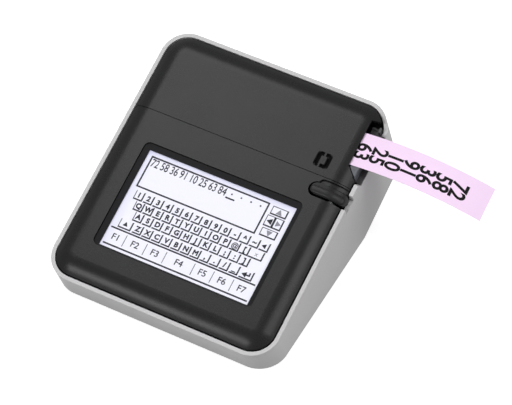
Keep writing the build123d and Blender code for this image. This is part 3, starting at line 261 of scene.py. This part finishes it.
# Floor and sky: their tones, and how brightly they show where they are seen or mirrored
WHITE = (1, 1, 1, 1)
FLOOR_SIZE = 12.0
FLOOR_DARK = (0.48, 0.48, 0.48)
FLOOR_LIGHT = (0.50, 0.50, 0.50)
FLOOR_GLOW = 0.82
FLOOR_GLOW_MIRRORED = 0.60
SKY_LIGHT = 0.24
SKY_WHITE = 1.0

# Lamps and camera
CASE_MIDDLE = (0, 0, 0.03)
RIGHT_BORDER = (0.03, -0.03, 0.03)
FRONT_BORDER = (-0.03, -0.07, 0.03)
LAMPS = {
    "key_light": dict(place=(-0.72, 0.22, 1.6), aim=CASE_MIDDLE, size=(0.74, 0.74), power=9.6),
    "side_light": dict(place=(1.2, 0.1, 0.8), aim=CASE_MIDDLE, size=(1.0, 0.4), power=5.0),
    "front_light": dict(place=(-0.5, -1.35, 0.48), aim=CASE_MIDDLE, size=(0.9, 0.3), power=0.2),
    "right_border_light": dict(place=(0.62, -0.03, 1.42), aim=RIGHT_BORDER, size=(0.36, 0.66), power=5.0),
    "front_border_light": dict(place=(-0.5, -1.13, 0.97), aim=FRONT_BORDER, size=(0.66, 0.36), power=8.0),
}
CAMERA_PLACE = Vector((0.38566, -0.72132, 0.98920))
CAMERA_AIM = Vector((-0.008176, -0.009086, 0.045))
CAMERA_ROLL = math.radians(-0.86)
CAMERA_SENSOR_MM = 36.0
CAMERA_LENS_MM = 182.9
CAMERA_REACH = 50.0


# Materials
class Value:
    """A number that changes over a surface; arithmetic on it adds Math nodes."""

    def __init__(self, nodes, socket):
        self.nodes = nodes
        self.socket = socket

    def _math(self, operation, first, second=None):
        return self.nodes.node("ShaderNodeMath", {"operation": operation}, {0: first, 1: second})

    def __add__(self, other):
        return self._math("ADD", self, other)

    def __radd__(self, other):
        return self._math("ADD", other, self)

    def __sub__(self, other):
        return self._math("SUBTRACT", self, other)

    def __mul__(self, other):
        return self._math("MULTIPLY", self, other)

    def __truediv__(self, other):
        return self._math("DIVIDE", self, other)

    def __gt__(self, other):
        return self._math("GREATER_THAN", self, other)

    def __abs__(self):
        return self._math("ABSOLUTE", self)

    def or_larger(self, other):
        """The larger of two values."""
        return self._math("MAXIMUM", self, other)


class Nodes:
    """A tree of nodes, each added with its settings and its inputs."""

    def __init__(self, tree):
        self.tree = tree
        self.tree.nodes.clear()

    def node(self, kind, settings=None, sockets=None, out=0):
        """Add a node, and return the output that is asked for."""
        made = self.tree.nodes.new(kind)
        for key, value in (settings or {}).items():
            setattr(made, key, value)
        for key, value in (sockets or {}).items():
            if isinstance(value, Value):
                self.tree.links.new(value.socket, made.inputs[key])
            elif value is not None:
                made.inputs[key].default_value = value
        return Value(self, made.outputs[out]) if made.outputs else None

    def ray(self, kind):
        """1 for the rays of a kind, such as those that the camera sees, and 0 for others."""
        return self.node("ShaderNodeLightPath", out=f"Is {kind} Ray")


class Finish(Nodes):
    """One material, with a shader that its maker fills in."""

    def __init__(self, name):
        self.material = bpy.data.materials.new(name)
        self.material.use_nodes = True
        super().__init__(self.material.node_tree)
        self.point = self.node("ShaderNodeTexCoord", out="Object")

    def noise(self, scale, detail=3.0, stretch=(1.0, 1.0, 1.0), point=None):
        """Noise from 0 to 1, finer where its scale is larger."""
        sockets = {"Vector": point or self.point, "Scale": stretch}
        place = self.node("ShaderNodeMapping", None, sockets)
        sockets = {"Vector": place, "Scale": scale, "Detail": detail}
        return self.node("ShaderNodeTexNoise", None, sockets)

    def axis(self, name, point=None):
        """One coordinate of a point, by its letter."""
        return self.node("ShaderNodeSeparateXYZ", None, {0: point or self.point}, out=name)

    def rise(self, value, start):
        """Smooth step from 0 where the value is at its start to 1 where it is 1."""
        settings = {"interpolation_type": "SMOOTHSTEP"}
        sockets = {0: value, 1: start, 2: 1.0, 3: 0.0, 4: 1.0}
        return self.node("ShaderNodeMapRange", settings, sockets)

    def mix(self, factor, first, second):
        """Colour between two, by a factor from 0 to 1."""
        settings = {"data_type": "RGBA"}
        sockets = {0: factor, 6: first, 7: second}
        return self.node("ShaderNodeMix", settings, sockets, out=2)

    def bump(self, height, depth):
        """Relief from a height, with its depth in millimetres."""
        sockets = {"Height": height, "Distance": depth * MM, "Strength": 1.0}
        return self.node("ShaderNodeBump", None, sockets)

    def shade(self, colour, roughness, normal, **others):
        """Close the material with its surface; other inputs have _ for a space in their names."""
        sockets = {"Base Color": colour, "Roughness": roughness, "Normal": normal}
        sockets.update({key.replace("_", " "): value for key, value in others.items()})
        surface = self.node("ShaderNodeBsdfPrincipled", None, sockets)
        self.node("ShaderNodeOutputMaterial", None, {"Surface": surface})
        return self.material


def rgba(colour, factor=1.0, lift=0.0):
    """Opaque colour, made lighter or darker by a factor and then by a lift."""
    return [min(1.0, share * factor + lift) for share in colour] + [1.0]


def moulded(name, colour, rough=0.5, grain=1600.0, depth=0.03, drift=0.06, gloss=0.5):
    """Moulded plastic: spark-eroded grain, and slow drift of tone and sheen over the face."""
    finish = Finish(name)
    fine = finish.noise(scale=grain, detail=2.0)
    slow = finish.noise(scale=38.0, detail=4.0)
    tone = finish.mix(slow, rgba(colour, 1.0 - drift), rgba(colour, 1.0 + drift))
    sheen = rough - 0.05 + slow * 0.06 + fine * 0.04
    return finish.shade(tone, sheen, finish.bump(fine, depth), Specular_IOR_Level=gloss)


def brushed(name, colour, along, rough=0.32):
    """Rolled or drawn metal with fine lines along one axis."""
    finish = Finish(name)
    stretch = [0.04 if axis == along else 1.0 for axis in "XYZ"]
    lines = finish.noise(scale=2600.0, stretch=stretch)
    stain = finish.noise(scale=90.0, detail=4.0)
    tone = finish.mix(lines * 0.6 + stain * 0.4, rgba(colour, 0.82), rgba(colour))
    sheen = rough + lines * 0.12 + stain * 0.06
    return finish.shade(tone, sheen, finish.bump(lines, depth=0.01), Metallic=1.0)


def rubbery(name, colour):
    """Ground rubber: dusty, open-pored and without gloss."""
    finish = Finish(name)
    pores = finish.noise(scale=2200.0, detail=4.0)
    dust = finish.noise(scale=120.0, detail=5.0)
    tone = finish.mix(dust, rgba(colour), rgba(colour, 1.9, lift=0.01))
    normal = finish.bump(pores, depth=0.05)
    return finish.shade(tone, 0.74 + dust * 0.16, normal, Specular_IOR_Level=0.3)


def paper(name, colour):
    """Coated label paper: faint fibres lying in the sheet."""
    finish = Finish(name)
    fibres = finish.noise(scale=1500.0, detail=5.0, stretch=(0.35, 1.0, 1.0))
    cloud = finish.noise(scale=110.0)
    tone = finish.mix(fibres * 0.55 + cloud * 0.45, rgba(colour, 0.965), rgba(colour, 1.03))
    normal = finish.bump(fibres, depth=0.012)
    return finish.shade(tone, 0.62 + cloud * 0.1, normal, Specular_IOR_Level=0.35)


def deck_point(finish):
    """Object coordinates turned into the axes of the deck, from the middle of the screen."""
    settings = {"vector_type": "TEXTURE"}
    sockets = {"Vector": finish.point, "Location": DECK @ FILM_TOP, "Rotation": (DECK_TILT, 0, 0)}
    return finish.node("ShaderNodeMapping", settings, sockets)


def film(name):
    """Lit touch film: white, with painted shade that darkens it and turns it blue at its left and upper edges, and
    a fine grid.
    """
    finish = Finish(name)
    place = deck_point(finish)
    left = finish.axis("X", place) / (-SCREEN_W / 2)
    head = finish.axis("Y", place) / (SCREEN_D / 2)
    # Painted shade: the film's colour and glow are darker and bluer near its left and upper edges
    painted_edge_shade = finish.rise(left, start=0.86) * 0.36 + finish.rise(head, start=0.84) * 0.5
    grid = finish.noise(scale=2400.0, detail=1.0, point=place)
    tone = finish.mix(painted_edge_shade, rgba((0.69, 0.69, 0.77)), rgba((0.48, 0.48, 0.66)))
    glow = finish.mix(painted_edge_shade, rgba((0.90, 0.90, 1.0)), rgba((0.58, 0.58, 0.84)))
    return finish.shade(tone, 0.36 + grid * 0.08, finish.bump(grid, depth=0.004),
                        Emission_Color=glow, Emission_Strength=0.2, Specular_IOR_Level=0.2)


def circuit(name):
    """Solder mask over copper runs."""
    finish = Finish(name)
    settings = {"offset": 0.37, "squash": 1.6}
    sockets = {"Vector": finish.point, "Scale": 180.0, "Mortar Size": 0.06}
    runs = finish.node("ShaderNodeTexBrick", settings, sockets, out="Fac")
    weave = finish.noise(scale=900.0)
    mask = finish.mix(runs, rgba((0.012, 0.12, 0.045)), rgba((0.03, 0.24, 0.09)))
    tone = finish.mix(weave * 0.3, mask, rgba((0.05, 0.2, 0.1)))
    return finish.shade(tone, 0.34 + weave * 0.1, finish.bump(runs, depth=0.03))


def ink(name, colour, uneven=0.02, gloss=0.2):
    """Print on film or paper, a little uneven."""
    finish = Finish(name)
    patch = finish.noise(scale=700.0)
    tone = finish.mix(patch, rgba(colour), rgba(colour, lift=uneven))
    normal = finish.bump(patch, depth=0.005)
    return finish.shade(tone, 0.5 + patch * 0.15, normal, Specular_IOR_Level=gloss)


def sleeve(name):
    """Battery cell: dark sleeve between bare metal ends."""
    finish = Finish(name)
    scuff = finish.noise(scale=240.0, detail=4.0)
    bare = abs(finish.axis("Y") - CELL_MID_Y) > SLEEVE_HALF
    tone = finish.mix(bare, rgba((0.03, 0.035, 0.04)), rgba((0.52, 0.50, 0.46)))
    tone = finish.mix(scuff * 0.2, tone, rgba((0.3, 0.3, 0.3)))
    normal = finish.bump(scuff, depth=0.01)
    return finish.shade(tone, 0.26 + scuff * 0.15, normal, Metallic=bare)


PLASTICS = {
    "case_grey": dict(colour=(0.53, 0.525, 0.53), drift=0.03, gloss=0.3),
    "deck_black": dict(colour=(0.0078, 0.0078, 0.0083), rough=0.27, drift=0.10, depth=0.02, gloss=0.158),
    "bezel_black": dict(colour=(0.008, 0.008, 0.009), rough=0.46, grain=2600.0, depth=0.01, gloss=0.08),
    "lever_black": dict(colour=(0.0085, 0.0085, 0.009), rough=0.30, drift=0.10, depth=0.015, gloss=0.13),
    # Lit copy of lever_black: painted light, the crown on the lever's top is a lighter and glossier black
    "crown_black_painted_light": dict(colour=(0.0105, 0.0105, 0.011), rough=0.34, depth=0.015, gloss=0.17),
    "inner_black": dict(colour=(0.024, 0.024, 0.025), rough=0.55, drift=0.12),
    "guide_grey": dict(colour=(0.085, 0.092, 0.105), rough=0.42, depth=0.01, gloss=0.3),
    "gear_white": dict(colour=(0.80, 0.79, 0.74), rough=0.40, depth=0.01, drift=0.04),
    "chip_black": dict(colour=(0.02, 0.02, 0.02), grain=3000.0, drift=0.2),
    "display_glass": dict(colour=(0.52, 0.55, 0.57), rough=0.16, depth=0.004, drift=0.05),
    "head_ceramic": dict(colour=(0.72, 0.66, 0.55), rough=0.28, depth=0.006, drift=0.08),
    "cassette_plastic": dict(colour=(0.30, 0.31, 0.33), rough=0.42, depth=0.02),
    "core_plastic": dict(colour=(0.76, 0.76, 0.73), rough=0.45, depth=0.015),
}
INKS = {
    "screen_ink": dict(colour=(0.012, 0.012, 0.02)),
    "faint_ink": dict(colour=(0.26, 0.26, 0.30)),
    "print_ink": dict(colour=(0.003, 0.002, 0.003), uneven=0.006, gloss=0.1),
    "mark_paint": dict(colour=(0.001, 0.001, 0.001), uneven=0.003, gloss=0.03),
}
FINISHES = {
    "screen_film": film("screen_film"),
    "label_paper": paper("label_paper", (0.90, 0.69, 0.91)),
    "bare_steel": brushed("bare_steel", (0.62, 0.62, 0.61), along="X"),
    "roller_rubber": rubbery("roller_rubber", (0.018, 0.018, 0.019)),
    "foot_rubber": rubbery("foot_rubber", (0.030, 0.030, 0.031)),
    "board_green": circuit("board_green"),
    "cell_jacket": sleeve("cell_jacket"),
}
FINISHES.update({name: moulded(name, **look) for name, look in PLASTICS.items()})
FINISHES.update({name: ink(name, **look) for name, look in INKS.items()})
for part in frame["record"]["subparts"]:
    shown = frame["nodes"][part["node"]]
    shown.data.materials.clear()
    shown.data.materials.append(FINISHES[part["material_slot"]])


# Steps that the pieces share
def clear_selection():
    bpy.ops.object.select_all(action="DESELECT")


def active():
    return bpy.context.view_layer.objects.active


def pick(piece):
    """Make a piece the active one, and the only one selected."""
    clear_selection()
    piece.select_set(True)
    bpy.context.view_layer.objects.active = piece


def pick_faces(piece, wanted):
    """Select, in edit mode, the faces whose centre is wanted."""
    bpy.ops.mesh.select_all(action="DESELECT")
    bpy.ops.object.mode_set(mode="OBJECT")
    for face in piece.data.polygons:
        face.select = bool(wanted(face.center))
    bpy.ops.object.mode_set(mode="EDIT")


def edit_all():
    """Go into edit mode with the whole mesh selected."""
    bpy.ops.object.mode_set(mode="EDIT")
    bpy.ops.mesh.select_all(action="SELECT")


def end_edit():
    """Turn all faces outward and leave edit mode."""
    bpy.ops.mesh.select_all(action="SELECT")
    bpy.ops.mesh.normals_make_consistent(inside=False)
    bpy.ops.object.mode_set(mode="OBJECT")


def thicken(height):
    """Give a flat mesh in edit mode a height, and leave edit mode."""
    bpy.ops.mesh.select_all(action="SELECT")
    bpy.ops.mesh.extrude_region_move(TRANSFORM_OT_translate={"value": (0, 0, height)})
    end_edit()


def settle():
    """Put the place, turn and scale of the active piece into its mesh."""
    bpy.ops.object.transform_apply(location=True, rotation=True, scale=True)


def named(piece, name):
    """Give a piece and its mesh a name."""
    piece.name = name
    piece.data.name = name
    return piece


def join(name, pieces):
    """Join pieces into one, under a name."""
    pick(pieces[0])
    for piece in pieces:
        piece.select_set(True)
    bpy.ops.object.join()
    settle()
    return named(active(), name)


def lay(piece, place, finish, body="case"):
    """Lay a piece at a place on the deck, with a finish, and fix it to a body."""
    pick(piece)
    piece.matrix_world = place
    settle()
    piece.data.materials.clear()
    piece.data.materials.append(FINISHES[finish])
    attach(piece, body)


# Inked shapes, drawn flat
def rectangle(x0, x1, y0, y1):
    """Flat face between two corners, left in edit mode."""
    clear_selection()
    bpy.ops.mesh.primitive_plane_add(size=1, location=((x0 + x1) / 2, (y0 + y1) / 2, 0))
    piece = active()
    bpy.ops.object.mode_set(mode="EDIT")
    bpy.ops.mesh.select_mode(type="FACE")
    bpy.ops.transform.resize(value=(x1 - x0, y1 - y0, 1), center_override=piece.location)
    return piece


def hollow(line, shade=0.0):
    """Leave a rectangle only its outline, heavier at the right and the foot by twice the shade."""
    bpy.ops.mesh.inset(thickness=line, depth=0)
    bpy.ops.transform.translate(value=(-shade, shade, 0))
    bpy.ops.mesh.delete(type="FACE")


def bar(x0, x1, y0, y1):
    """Inked bar between two corners, with softened ends."""
    piece = rectangle(x0, x1, y0, y1)
    corner = min(x1 - x0, y1 - y0) * BAR_ROUND
    bpy.ops.mesh.bevel(offset=corner, affect="VERTICES", segments=2)
    thicken(INK_T)
    return piece


def box_frame(x0, x1, y0, y1, line, shade=0.0):
    """Inked outline of a box."""
    piece = rectangle(x0, x1, y0, y1)
    hollow(line, shade)
    thicken(INK_T)
    return piece


def key(x, y, width=KEY_W, closed=False):
    """Inked foot and right side of a key, and its left side where the key is a closed one."""
    foot = y - KEY_DROP - KEY_H / 2
    piece = rectangle(x - width / 2, x + width / 2, foot, foot + KEY_H)
    hollow(LINE_W, KEY_SHADE)
    left = -width if closed else LINE_W - width / 2
    pick_faces(piece, lambda centre: centre.y > KEY_H / 2 - LINE_W or centre.x < left)
    bpy.ops.mesh.delete(type="FACE")
    thicken(INK_T)
    return piece


def legend(text, x, y, size, bold, turn=0.0, stretch=1.0):
    """Text made into a flat inked mesh, made heavier by a chamfer that spreads its outline."""
    clear_selection()
    bpy.ops.object.text_add(location=(x, y, 0), rotation=(0, 0, turn))
    piece = active()
    piece.data.body = text
    piece.data.size = size
    piece.data.align_x = "CENTER"
    piece.data.align_y = "CENTER"
    piece.data.bevel_depth = bold
    piece.data.bevel_resolution = 0
    piece.data.extrude = INK_T / 2
    piece.scale = (stretch, 1.0, INK_T / (INK_T + 2 * bold))
    bpy.ops.object.convert(target="MESH")
    settle()
    return active()


def pointer(x, y, turn, radius):
    """Inked triangle of an arrow key."""
    clear_selection()
    bpy.ops.mesh.primitive_circle_add(vertices=3, radius=radius, fill_type="NGON",
                                      location=(x, y, 0), rotation=(0, 0, turn))
    piece = active()
    bpy.ops.object.mode_set(mode="EDIT")
    bpy.ops.mesh.bevel(offset=radius * POINTER_ROUND, affect="VERTICES", segments=1)
    thicken(INK_T)
    return piece


# Picture on the screen
def draw_on_film(name, marks, finish="screen_ink"):
    """Join flat marks into one piece that lies on the touch film."""
    lay(join(name, marks), ON_FILM, finish)


def draw_keys():
    """Keys of the keyboard, and their legends."""
    frames = []
    legends = []
    for start, y, signs in KEY_ROWS:
        for i, sign in enumerate(signs):
            x = start + i * KEY_PITCH
            frames.append(key(x + KEY_SIDE, y, closed=i == 0 and y > LAST_ROW_Y))
            bold = FINE_BOLD if sign in FINE_SIGNS else LEGEND_BOLD
            legends.append(legend(sign, x, y, LEGEND_SIZE, bold))
    frames.append(key(BACK_KEY_X, TOP_ROW_Y))
    frames.append(key(DELETE_KEY_X, SECOND_ROW_Y, DELETE_KEY_W))
    frames.append(key(SHIFT_KEY_X, LAST_ROW_Y, END_KEY_W, closed=True))
    frames.append(key(ENTER_KEY_X, ENTER_KEY_Y, END_KEY_W))
    for sign in (BACK_POINTER, SHIFT_POINTER, ENTER_POINTER):
        legends.append(pointer(*sign))
    for sides in (ENTER_STEM, ENTER_HOOK):
        legends.append(bar(*sides))
    draw_on_film("screen_keys", frames)
    draw_on_film("screen_legends", legends)


def draw_entry():
    """Entry field with a row of numbers, the cursor and the dots."""
    marks = [box_frame(*ENTRY_BOX, RULE_W)]
    for i, number in enumerate(ENTRY_NUMBERS):
        x = ENTRY_X + i * ENTRY_PITCH
        marks.append(legend(number, x, ENTRY_Y, ENTRY_SIZE, ENTRY_BOLD, stretch=ENTRY_STRETCH))
    marks.append(bar(*CURSOR_BAR))
    for x in DOT_XS:
        marks.append(bar(x - DOT_HALF, x + DOT_HALF, DOT_Y - DOT_HALF, DOT_Y + DOT_HALF))
    draw_on_film("screen_entry", marks)


def draw_arrows():
    """Arrow pad, and the marks that are faint because their keys do nothing now."""
    marks = [box_frame(*sides, LINE_W, KEY_SHADE) for sides in PAD_BOXES]
    marks.append(pointer(*PAD_LEFT))
    faint = [pointer(*sign) for sign in PAD_FAINT]
    faint.append(legend("x", DELETE_KEY_X, SECOND_ROW_Y, LEGEND_SIZE, bold=0.0))
    draw_on_film("screen_arrows", marks)
    draw_on_film("screen_faint_marks", faint, "faint_ink")


def draw_functions():
    """Function cells between two rules."""
    marks = [bar(-RULE_X, RULE_X, y - RULE_W / 2, y + RULE_W / 2) for y in RULE_YS]
    for x in CELL_EDGES[1:-1]:
        marks.append(bar(x - CELL_LINE_HALF, x + CELL_LINE_HALF, CELL_LINE_FOOT, CELL_LINE_HEAD))
    for i, (left, right) in enumerate(zip(CELL_EDGES, CELL_EDGES[1:])):
        x = (left + right) / 2
        marks.append(legend(f"F{i + 1}", x, FUNCTION_Y, FUNCTION_SIZE, ENTRY_BOLD))
    draw_on_film("screen_functions", marks)


# Print on the tape, and paint on the cover
def print_tape():
    """Numbers printed one below the other along the tape, from its far end."""
    numbers = []
    for i, number in enumerate(TAPE_NUMBERS):
        x = PRINT_START - i * PRINT_PITCH
        numbers.append(legend(number, x, PRINT_Y, PRINT_SIZE, PRINT_BOLD, PRINT_TURN, PRINT_STRETCH))
    printed = join("tape_print", numbers)
    edit_all()
    bpy.ops.mesh.subdivide(number_cuts=2)
    bpy.ops.object.mode_set(mode="OBJECT")
    for corner in printed.data.vertices:
        run = corner.co.x - TAPE_CREST_X
        corner.co.z += TAPE_CREST_Z - TAPE_R + math.sqrt(TAPE_R ** 2 - run ** 2)
    lay(printed, DECK @ Matrix.Translation((0, 0, INK_T)), "print_ink")


def mark_ring(width, height, radius, hole_w, hole_h, gap):
    """Rounded ring of the mark, open at the middle of its top and near the left of its foot."""
    ring = rectangle(-width / 2, width / 2, -height / 2, height / 2)
    bpy.ops.mesh.bevel(offset=radius, affect="VERTICES", segments=4)
    line = (width - hole_w) / 2
    bpy.ops.mesh.inset(thickness=line, depth=0)
    tall = hole_h / (height - 2 * line)
    bpy.ops.transform.resize(value=(1, tall, 1), center_override=ring.location)
    bpy.ops.mesh.delete(type="FACE")
    half = gap / 2
    for x in (MARK_FOOT_X - half, MARK_FOOT_X + half, -half, half):
        bpy.ops.mesh.select_all(action="SELECT")
        bpy.ops.mesh.bisect(plane_co=(x, 0, 0), plane_no=(1, 0, 0))
    pick_faces(ring, lambda c: abs(c.x - (0 if c.y > 0 else MARK_FOOT_X)) < half)
    bpy.ops.mesh.delete(type="FACE")
    thicken(INK_T)
    return ring


def paint_mark():
    """Paint on the floor of the sunk mark of the cover, and on the skin along its borders."""
    hole_w = MARK_W - 2 * MARK_LINE
    hole_h = MARK_H - 2 * MARK_LINE
    sunk = [mark_ring(MARK_W, MARK_H, MARK_R, hole_w, hole_h, MARK_BREAK)]
    core_w = hole_w - 2 * MARK_BORDER
    core_h = hole_h - 2 * MARK_BORDER
    border = [
        mark_ring(MARK_SPAN_W, MARK_SPAN_H, MARK_R, MARK_W, MARK_H, MARK_GAP),
        mark_ring(hole_w, hole_h, MARK_R / 2, core_w, core_h, MARK_GAP),
    ]
    ends = [(0.0, hole_h / 2, MARK_H / 2), (MARK_FOOT_X, -MARK_H / 2, -hole_h / 2)]
    for x, low, high in ends:
        border.append(bar(x - MARK_BREAK / 2, x - MARK_GAP / 2, low, high))
        border.append(bar(x + MARK_GAP / 2, x + MARK_BREAK / 2, low, high))
    on_floor = DECK @ Matrix.Translation((MARK_X, MARK_Y, MARK_FLOOR_Z))
    on_skin = DECK @ Matrix.Translation((MARK_X, MARK_Y, COVER_TOP_Z))
    lay(join("mark_paint", sunk), on_floor, "mark_paint", "cover")
    lay(join("mark_border", border), on_skin, "mark_paint", "cover")


# Cutter lever, rim of the case and coil spring
def deck_top(x, rise):
    """Height, at a place across the deck, of a skin that stands clear of it by a rise."""
    run = max(0.0, x - ROLL_X)
    return COVER_TOP_Z - ROLL_R + math.sqrt((ROLL_R + rise) ** 2 - run ** 2)


def recast(node_name, name, reshape, body):
    """Piece that stands for a node: its copy, with each corner moved in the axes of the deck."""
    pick(frame["nodes"][node_name])
    bpy.ops.object.duplicate()
    piece = named(active(), name)
    edit_all()
    bpy.ops.mesh.customdata_custom_splitnormals_clear()
    bpy.ops.mesh.remove_doubles(threshold=MERGE_REACH)
    bpy.ops.object.mode_set(mode="OBJECT")
    flat = DECK.inverted()
    for corner in piece.data.vertices:
        corner.co = DECK @ reshape(flat @ corner.co)
    bpy.ops.object.shade_smooth_by_angle(angle=SHARP_RECAST)
    even = piece.modifiers.new("even", "WEIGHTED_NORMAL")
    even.keep_sharp = True
    even.weight = 100
    bpy.ops.object.modifier_apply(modifier="even")
    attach(piece, body)
    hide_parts(node_name)


def let_down(place):
    """Finger of the cutter lever: shorter, narrower and down to the deck, a bed for the crown."""
    rise = place.z - deck_top(place.x, 0.0)
    if place.y < LEVER_BACK_Y:
        place.y = LEVER_BACK_Y - (LEVER_BACK_Y - place.y) * LEVER_NARROW
    if abs(place.x - LEVER_MID_X) > LEVER_ARM_HALF:
        place.x = LEVER_MID_X + (place.x - LEVER_MID_X) * LEVER_SHORT
    place.z = deck_top(place.x, 0.0) + (rise * LEVER_SINK if rise > 0 else rise)
    return place


def inset_from_rim(place):
    """How far a place lies inside the outline of the rim, and the way out of it."""
    across = abs(place.x) - RIM_HALF_W + RIM_CORNER_R
    along = abs(place.y) - RIM_HALF_D + RIM_CORNER_R
    if across > 0 and along > 0:
        out = Vector((across, along))
    elif across > along:
        out = Vector((across, 0.0))
    else:
        out = Vector((0.0, along))
    way = Vector((math.copysign(out.x, place.x), math.copysign(out.y, place.y), 0.0))
    return RIM_CORNER_R - out.length, way.normalized()


def shape_rim(place):
    """Rim of the case: pared back from the deck, and falling softly to the end of the mouth."""
    inset, way = inset_from_rim(place)
    if abs(place.z) < LIP_REACH_Z and abs(inset - RIM_W) < LIP_REACH:
        place += way * RIM_PARE
    beside_mouth = place.x >= DIP_X and MOUTH_END_Y < place.y < DIP_START_Y
    if not beside_mouth or place.z < MOUTH_FLOOR_Z:
        return place
    share = min(1.0, (DIP_START_Y - place.y) / (DIP_START_Y - DIP_END_Y))
    low = DIP_END_Z * share * share * (3.0 - 2.0 * share)
    place.z = MOUTH_FLOOR_Z + (place.z - MOUTH_FLOOR_Z) * (1.0 - low / MOUTH_FLOOR_Z)
    return place


def crown_lever():
    """Rounded bar on top of the cutter lever."""
    clear_selection()
    bpy.ops.mesh.primitive_grid_add(x_subdivisions=64, y_subdivisions=20, size=2)
    crown = named(active(), "lever_crown")
    half = CROWN_W / 2
    straight = (CROWN_L - CROWN_W) / 2
    for corner in crown.data.vertices:
        along = corner.co.x * CROWN_L / 2
        past = max(0.0, abs(along) - straight)
        across = corner.co.y * math.sqrt(max(0.0, half ** 2 - past ** 2))
        edge = math.sqrt(past ** 2 + across ** 2) / half
        swell = CROWN_H * math.sqrt(max(0.0, 1.0 - edge ** CROWN_ROUND))
        top = deck_top(CROWN_X + along, CROWN_FOOT + swell)
        corner.co = (CROWN_X + along, CROWN_Y + across, top)
    edit_all()
    bpy.ops.mesh.remove_doubles(threshold=MERGE_REACH)
    thicken(-INK_T)
    bpy.ops.object.shade_smooth_by_angle(angle=SHARP_CROWN)
    # The crown's finish is a lighter copy of the lever's black: painted light on the lever's top
    lay(crown, DECK, "crown_black_painted_light", "cutter")


def wind_spring():
    """Coil spring under the arm of the cutter lever."""
    clear_selection()
    bpy.ops.mesh.primitive_circle_add(vertices=WIRE_SIDES, radius=WIRE_R, location=(COIL_R, 0, 0),
                                      rotation=(math.radians(90), 0, 0))
    coil = named(active(), "spring_coil")
    settle()
    turns = coil.modifiers.new("turns", "SCREW")
    turns.axis = "Z"
    turns.screw_offset = (COIL_L - 2 * WIRE_R) / COIL_TURNS
    turns.iterations = COIL_TURNS
    turns.steps = COIL_STEPS
    turns.render_steps = COIL_STEPS
    bpy.ops.object.modifier_apply(modifier="turns")
    edit_all()
    bpy.ops.mesh.remove_doubles(threshold=MERGE_REACH)
    bpy.ops.mesh.select_all(action="SELECT")
    bpy.ops.mesh.fill_holes(sides=WIRE_SIDES)
    end_edit()
    bpy.ops.object.shade_smooth_by_angle(angle=SHARP_COIL)
    place = DECK @ Matrix.Translation(COIL_FOOT + Vector((0, 0, WIRE_R)))
    lay(coil, place, "bare_steel")
    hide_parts("lever_spring")
    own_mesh(coil)


draw_keys()
draw_entry()
draw_arrows()
draw_functions()
print_tape()
paint_mark()
recast("cutter_lever", "lever_bed", let_down, "cutter")
recast("lower_case", "case_shell", shape_rim, "case")
crown_lever()
wind_spring()


# Floor, light and camera
def floor():
    """White floor that keeps the shadow, and is brighter where it is seen or mirrored."""
    clear_selection()
    bpy.ops.mesh.primitive_plane_add(size=FLOOR_SIZE, location=(0, 0, 0))
    ground = active()
    ground.name = "floor"
    finish = Finish("floor_white")
    tone = finish.mix(finish.noise(scale=3.0, detail=2.0), rgba(FLOOR_DARK), rgba(FLOOR_LIGHT))
    matt = finish.node("ShaderNodeBsdfDiffuse", None, {"Color": tone})
    surface = matt
    mirrored = finish.ray("Glossy").or_larger(finish.ray("Transmission"))
    for rays, glow in ((mirrored, FLOOR_GLOW_MIRRORED), (finish.ray("Camera"), FLOOR_GLOW)):
        light = finish.node("ShaderNodeEmission", None, {"Color": WHITE, "Strength": glow})
        both = finish.node("ShaderNodeAddShader", None, {0: matt, 1: light})
        surface = finish.node("ShaderNodeMixShader", None, {0: rays, 1: surface, 2: both})
    finish.node("ShaderNodeOutputMaterial", None, {"Surface": surface})
    ground.data.materials.append(finish.material)


def sky():
    """Even light from all round, which is plain white where it is seen or mirrored."""
    world = bpy.data.worlds.new("studio")
    world.use_nodes = True
    bpy.context.scene.world = world
    nodes = Nodes(world.node_tree)
    light = nodes.node("ShaderNodeBackground", None, {"Color": WHITE, "Strength": SKY_LIGHT})
    white = nodes.node("ShaderNodeBackground", None, {"Color": WHITE, "Strength": SKY_WHITE})
    mirrored = nodes.ray("Glossy").or_larger(nodes.ray("Transmission"))
    plain = mirrored.or_larger(nodes.ray("Camera"))
    surface = nodes.node("ShaderNodeMixShader", None, {0: plain, 1: light, 2: white})
    nodes.node("ShaderNodeOutputWorld", None, {"Surface": surface})


def aimed(place, aim):
    """Turn of a lamp or camera at a place that looks at its aim."""
    return (Vector(aim) - Vector(place)).to_track_quat("-Z", "Y")


def lamp(name, place, aim, size, power):
    """Rectangular lamp, with its size in metres and its power in watts."""
    data = bpy.data.lights.new(name, "AREA")
    data.shape = "RECTANGLE"
    data.size = size[0]
    data.size_y = size[1]
    data.energy = power
    lit = bpy.data.objects.new(name, data)
    bpy.context.collection.objects.link(lit)
    lit.location = place
    lit.rotation_euler = aimed(place, aim).to_euler()


def camera():
    """Camera at the photograph's place."""
    data = bpy.data.cameras.new("photo_camera")
    data.sensor_width = CAMERA_SENSOR_MM
    data.lens = CAMERA_LENS_MM
    data.clip_end = CAMERA_REACH
    eye = bpy.data.objects.new("photo_camera", data)
    bpy.context.collection.objects.link(eye)
    turn = aimed(CAMERA_PLACE, CAMERA_AIM).to_matrix().to_4x4()
    roll = Matrix.Rotation(CAMERA_ROLL, 4, "Z")
    eye.matrix_world = Matrix.Translation(CAMERA_PLACE) @ turn @ roll
    bpy.context.scene.camera = eye


bpy.context.scene.view_settings.view_transform = "Standard"
floor()
sky()
for name, look in LAMPS.items():
    lamp(name, **look)
camera()
